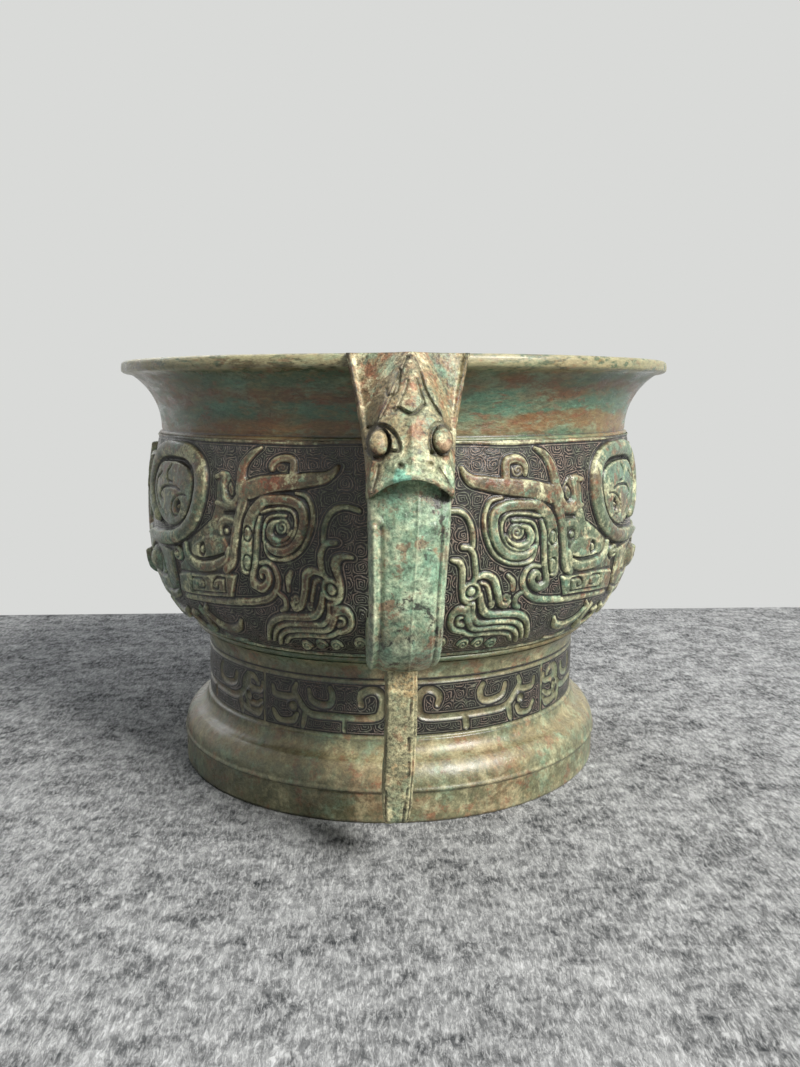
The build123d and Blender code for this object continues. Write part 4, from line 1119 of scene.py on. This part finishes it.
def patina(name, green, olive, pale, brown, dark, seed, pale_share=0.6, brown_share=0.6,
           teal_share=0.5, pit_share=0.6, carved=False, cell=5.0, turns=3.2, rough=(0.3, 0.62),
           relief=1.0, contrast=0.7, coat=0.0, stretch=1.0, rim_z=None, blend=1.0, zones=(),
           spot=None, spread=0.0):
    """Old bronze: green and olive over brown, with cream crust, rust and pits, pale edges that are part wear
    and part painted highlight, and painted shade in hollows.
    """
    s = Shader(name)
    if stretch != 1.0:
        s.coords = s.vector("MULTIPLY", {0: s.place, 1: (1.0, 1.0, stretch)})
    wide = s.noise(13.0, 4.0, 0.6, 0.6, seed=seed)
    patch = s.noise(42.0, 6.0, 0.68, 0.8, seed=seed + 3.1)
    crust = s.noise(105.0, 6.0, 0.72, 0.5, seed=seed + 6.3)
    small = s.noise(330.0, 5.0, 0.72, seed=seed + 5.7)
    fine = s.noise(1150.0, 3.0, 0.7, seed=seed + 1.3)
    ragged = s.mul_add(small, 0.5, -0.25)

    def area(source, level, soft, share):
        """Where a layer lies: the source above a level, with a ragged edge."""
        return s.mul(s.ramp(s.add(source, ragged), level - soft, level + soft), share)

    def patches(scale, rough, distortion, shift, level, soft, share):
        source = s.noise(scale, 5.0, rough, distortion, seed=seed + shift)
        return area(source, level, soft, share)

    high = s.node("ShaderNodeSeparateXYZ", {0: s.place}).outputs[2]
    color = s.mix(s.ramp(s.add(wide, ragged), 0.44, 0.56), green, olive)
    for low_z, top_z, tint in zones:
        level = s.mul_add(s.math("SUBTRACT", wide, 0.5), 0.028, high)
        level = s.mul_add(ragged, 0.006, level)
        above, past = (s.ramp(level, z - 0.0012, z + 0.0012) for z in (low_z, top_z))
        color = s.mix(s.mul(s.mul(above, s.invert(past)), 0.75), color, tint)
    wash = 0.035 * blend
    color = s.mix(patches(24.0, 0.66, 1.0, 13.0, 0.56, wash, brown_share), color, brown)
    color = s.mix(patches(30.0, 0.66, 0.9, 9.0, 0.57, wash, teal_share), color, TEAL)
    color = s.mix(area(crust, 0.57, 0.05 * blend, pale_share), color, pale)
    if rim_z is not None:
        top = s.mul(s.ramp(high, rim_z - 0.0008, rim_z + 0.0004), 0.7)
        color = s.mix(s.mul(top, s.ramp(s.add(crust, ragged), 0.40, 0.50)), color, LIP_CRUST)
    color = s.mix(patches(140.0, 0.7, 0.0, 17.0, 0.60 - spread, 0.04, brown_share), color, RUST)
    color = s.mix(patches(120.0, 0.7, 0.0, 29.0, 0.61, 0.04 * blend, teal_share), color, TEAL)
    color = s.mix(patches(88.0, 0.75, 0.4, 23.0, 0.615 - spread, 0.03, pit_share), color, dark)
    # Wear and painted highlight: convex edges turn pale
    point = s.node("ShaderNodeNewGeometry").outputs["Pointiness"]
    worn = s.mul(s.ramp(point, 0.503, 0.55), s.mul_add(s.ramp(small, 0.4, 0.6), 0.5, 0.5))
    # Painted shade: concave places turn dark
    hollow_shade = s.invert(s.ramp(point, 0.43, 0.495))
    if carved:
        proud, ground, edge = (s.attribute(key) for key in ("proud", "ground", "edge_mm"))
        # Wear and painted highlight on the rims of the relief's raised bands
        rim_wear_and_highlight = s.mul(s.invert(s.ramp(edge, 0.25, 0.75)), s.ramp(proud, 0.1, 0.5))
        worn = s.mul(s.math("MAXIMUM", worn, rim_wear_and_highlight), s.ramp(patch, 0.36, 0.56))
        # Painted shade also on places lower than the relief round them
        hollow_shade = s.math("MAXIMUM", hollow_shade, s.invert(s.ramp(proud, -0.5, 0.0)))
    color = s.mix(s.mul(worn, pale_share, clamp=True), color, pale)
    color = s.mix(s.mul(hollow_shade, 0.88, clamp=True), color, dark)
    if spot is not None:
        far = s.mul_add(ragged, 0.008, s.vector("DISTANCE", {0: s.place, 1: spot}, "Value"))
        color = s.mix(s.invert(s.ramp(far, 0.0022, 0.0032)), color, MINT)
    # Dark marks from the meshes: painted shade in cut lines, eyes, nostrils, pits, grooves and cracks, with
    # dirt along the pendants' rims
    color = s.mix(s.mul(s.attribute("dirt_and_shade"), 0.85, clamp=True), color, dark)
    if carved:
        lines = spirals(s, cell, turns, seed)
        line_color = s.mix(s.ramp(crust, 0.42, 0.58), LINE_WARM, LINE_COOL)
        floor_color = s.mix(s.mul(lines, 0.9), GROUND_DARK, line_color)
        floor_color = s.mix(s.mul(s.ramp(small, 0.58, 0.7), 0.35), floor_color, GROUND_DUST)
        color = s.mix(s.ramp(ground, 0.4, 0.9), color, floor_color)
    speckle = s.add(s.mul(s.ramp(fine, 0.3, 0.7), 0.5), s.mul(s.ramp(small, 0.3, 0.7), 0.5))
    level = s.mul_add(speckle, 2 * contrast, 1.0 - contrast)
    # Painted shade: the foot's band, under the belly's overhang, is made 30% darker
    level = s.mul(level, s.mul_add(s.attribute("band"), -0.3, 1.0))
    grain = s.mul_add(small, 0.7, s.mul(fine, 0.3))
    normal = s.bump(grain, 0.0005 * relief, 0.8, s.bump(crust, 0.0006 * relief, 0.6))
    if carved:
        normal = s.bump(s.mul(lines, s.ramp(ground, 0.4, 0.9)), 0.0005, 0.9, normal)
    s.surface(
        Base_Color=s.vector("SCALE", {0: color, "Scale": level}),
        Metallic=0.0, IOR=1.5, Coat_Weight=coat, Coat_Roughness=0.32, Normal=normal,
        Roughness=s.mul_add(s.ramp(crust, 0.4, 0.62), rough[1] - rough[0], rough[0]),
    )
    return s.mat


def cover(obj, material):
    obj.data.materials.clear()
    obj.data.materials.append(material)


DARK = rgb(30, 26, 22)
carved = patina(
    "patina_carved", rgb(106, 120, 96), rgb(116, 102, 78), rgb(198, 198, 160), rgb(104, 64, 44),
    DARK, seed=2.0, carved=True, pale_share=0.85, rough=(0.26, 0.56), coat=0.35,
)
neck = patina(
    "patina_neck", rgb(84, 106, 80), rgb(106, 92, 58), rgb(154, 150, 108), rgb(132, 78, 42),
    rgb(34, 32, 26), seed=4.0, pale_share=0.3, brown_share=0.5, teal_share=0.35, pit_share=0.35,
    rough=(0.24, 0.5), coat=0.45, relief=0.7, contrast=0.45, stretch=2.6, rim_z=0.143, blend=2.2,
    zones=((0.1218, 0.1275, rgb(142, 106, 66)), (0.1275, 0.133, rgb(94, 128, 104)),
           (0.133, 0.1365, rgb(124, 84, 54))),
)
foot_mat = patina(
    "patina_foot", rgb(124, 124, 94), rgb(132, 110, 76), rgb(198, 190, 150), rgb(126, 80, 54),
    DARK, seed=6.0, carved=True, cell=4.6, turns=2.9, pale_share=0.5, brown_share=0.5,
    teal_share=0.35, pit_share=0.3, rough=(0.26, 0.55), coat=0.5, relief=0.8, contrast=0.5,
    blend=2.4, zones=((0.0135, 0.0195, rgb(150, 136, 100)), (0.0, 0.0095, rgb(112, 112, 82))),
)
head_mat = patina(
    "patina_head", rgb(160, 166, 132), rgb(160, 144, 108), rgb(218, 214, 176), rgb(126, 78, 52),
    rgb(36, 30, 25), seed=8.0, pale_share=0.85, brown_share=0.65, rough=(0.34, 0.68), relief=1.8,
    contrast=0.95, coat=0.15, blend=1.4, spread=0.015, spot=(-0.0024, -0.1315, 0.1158),
)
strap_mat = patina(
    "patina_strap", rgb(130, 158, 130), rgb(134, 144, 112), rgb(208, 216, 182), rgb(124, 78, 52),
    rgb(30, 26, 23), seed=10.0, teal_share=0.7, pit_share=0.9, rough=(0.24, 0.55), coat=0.45,
    contrast=0.8, blend=2.4, spread=0.022,
)
pendant_mat = patina(
    "patina_pendant", rgb(154, 152, 120), rgb(166, 138, 96), rgb(204, 196, 156),
    rgb(126, 78, 52), rgb(48, 38, 30), seed=12.0, pale_share=0.7, brown_share=0.5,
    teal_share=0.35, pit_share=0.4, rough=(0.5, 0.8), relief=1.8, contrast=0.95, blend=1.4,
)
chaplet_mat = patina(
    "patina_chaplet", rgb(92, 96, 72), rgb(96, 84, 58), rgb(128, 132, 104), rgb(100, 62, 42),
    rgb(34, 30, 26), seed=14.0, pale_share=0.4, brown_share=0.7,
)
clay_mat = patina(
    "burnt_clay", rgb(96, 74, 60), rgb(84, 62, 50), rgb(128, 106, 88), rgb(70, 44, 34),
    rgb(30, 24, 22), seed=16.0, pale_share=0.4, brown_share=0.4, teal_share=0.0,
    rough=(0.8, 0.95),
)
for material, pieces in (
    (carved, belly),
    (neck, [bowl_mouth, bowl_under, cad["bowl"]]),
    (foot_mat, [foot, cad["ring_foot"]]),
    (head_mat, heads + [cad["beast_head_front"], cad["beast_head_back"]]),
    (strap_mat, straps + [cad["handle_front"], cad["handle_back"]]),
    (pendant_mat, pendants + [cad["pendant_front"], cad["pendant_back"]]),
    (chaplet_mat, [cad["floor_chaplets"]]),
    (clay_mat, [cad["handle_core_front"], cad["handle_core_back"]]),
):
    for piece in pieces:
        cover(piece, material)

# ---------------------------------------------------------------- floor, world, lamps, camera
TABLE_FRONT, TABLE_BACK, TABLE_HALF, TABLE_ROUND = -1600, 226, 1700, 8
FLAT_ROWS = 90
edge_angle = np.linspace(0.2, 1.57, 6)
edge_start = TABLE_BACK - TABLE_ROUND
rows_y = np.concatenate((
    np.linspace(TABLE_FRONT, edge_start, FLAT_ROWS), edge_start + TABLE_ROUND * np.sin(edge_angle),
    (TABLE_BACK, TABLE_BACK),
))
rows_z = np.concatenate((
    np.zeros(FLAT_ROWS), -TABLE_ROUND + TABLE_ROUND * np.cos(edge_angle), (-60, -500),
))
fx, fy = np.meshgrid(np.linspace(-TABLE_HALF, TABLE_HALF, 120), rows_y)
fz = np.broadcast_to(rows_z[:, None], fx.shape)
table = make_mesh("felt_table", np.stack((fx, fy, fz), 2), grid_faces(*fx.shape), lean=False)
felt = Shader("grey_felt")
fibres = None
for i, way in enumerate((0.35, 1.4, -0.75)):
    laid = {"Vector": felt.coords, "Rotation": (0, 0, way), "Scale": (1.0, 0.32, 1.0)}
    laid = felt.node("ShaderNodeMapping", laid).outputs[0]
    strand = felt.noise(760.0, 4.0, 0.7, 0.5, at=laid, seed=3.0 * i)
    fibres = strand if fibres is None else felt.math("MAXIMUM", fibres, strand)
tufts = felt.noise(170.0, 4.0, 0.65, 0.4)
clouds = felt.noise(48.0, 4.0, 0.6, 0.3, seed=7.0)
shade = felt.mul(felt.ramp(fibres, 0.46, 0.70), 0.5)
shade = felt.add(shade, felt.mul(felt.ramp(tufts, 0.34, 0.66), 0.3))
shade = felt.add(shade, felt.mul(felt.ramp(clouds, 0.35, 0.65), 0.18))
felt.surface(
    Base_Color=felt.mix(shade, rgb(48, 51, 54), rgb(216, 218, 219)), Roughness=1.0,
    Specular_IOR_Level=0.1, Normal=felt.bump(shade, 0.0009, 0.5),
)
cover(table, felt.mat)

# A dim ambient light; the camera and the reflections see a pale wall instead
world = bpy.data.worlds.new("studio")
scene.world = world
world.use_nodes = True
sky = Nodes(world.node_tree)
ray = sky.node("ShaderNodeLightPath").outputs
seen = sky.math("MAXIMUM", ray["Is Camera Ray"], ray["Is Glossy Ray"])
seen = sky.math("MAXIMUM", seen, ray["Is Transmission Ray"])
ambient = sky.node("ShaderNodeBackground", {0: (0.92, 0.96, 1.0, 1), 1: 0.02}).outputs[0]
wall = sky.node("ShaderNodeBackground", {0: rgb(217, 218, 216), 1: 1.0}).outputs[0]
pick = sky.node("ShaderNodeMixShader", {0: seen, 1: ambient, 2: wall}).outputs[0]
sky.node("ShaderNodeOutputWorld", {0: pick})


def lamp(name, place, target, size, power, color):
    """A round area lamp that faces its target."""
    data = bpy.data.lights.new(name, "AREA")
    data.shape = "DISK"
    data.size = size
    data.energy = power
    data.color = color
    obj = bpy.data.objects.new(name, data)
    scene.collection.objects.link(obj)
    obj.location = place
    toward = Vector(target) - Vector(place)
    obj.rotation_euler = toward.to_track_quat("-Z", "Y").to_euler()


lamp("key", (1.1, -1.25, 1.35), (0, 0, 0.08), 0.85, 62.0, (1.0, 0.975, 0.93))
lamp("top", (0.35, 0.0, 1.7), (0, 0, 0.1), 2.2, 15.0, (1.0, 1.0, 1.0))
lamp("back", (-0.9, 1.2, 1.3), (0, 0, 0.05), 1.4, 8.0, (0.94, 0.97, 1.0))

PITCH, HEADING = math.radians(-8.42), math.radians(2.54)
camera = bpy.data.cameras.new("camera")
camera.sensor_fit = "VERTICAL"
camera.sensor_height = 36.0
camera.lens = 31.66
camera.clip_start = 0.01
eye = bpy.data.objects.new("camera", camera)
scene.collection.objects.link(eye)
eye.location = (-0.0126, -0.3628, 0.136)
look = Vector((
    math.sin(HEADING) * math.cos(PITCH), math.cos(HEADING) * math.cos(PITCH), math.sin(PITCH),
))
eye.rotation_mode = "QUATERNION"
eye.rotation_quaternion = look.to_track_quat("-Z", "Y")
scene.camera = eye
scene.view_settings.view_transform = "Standard"
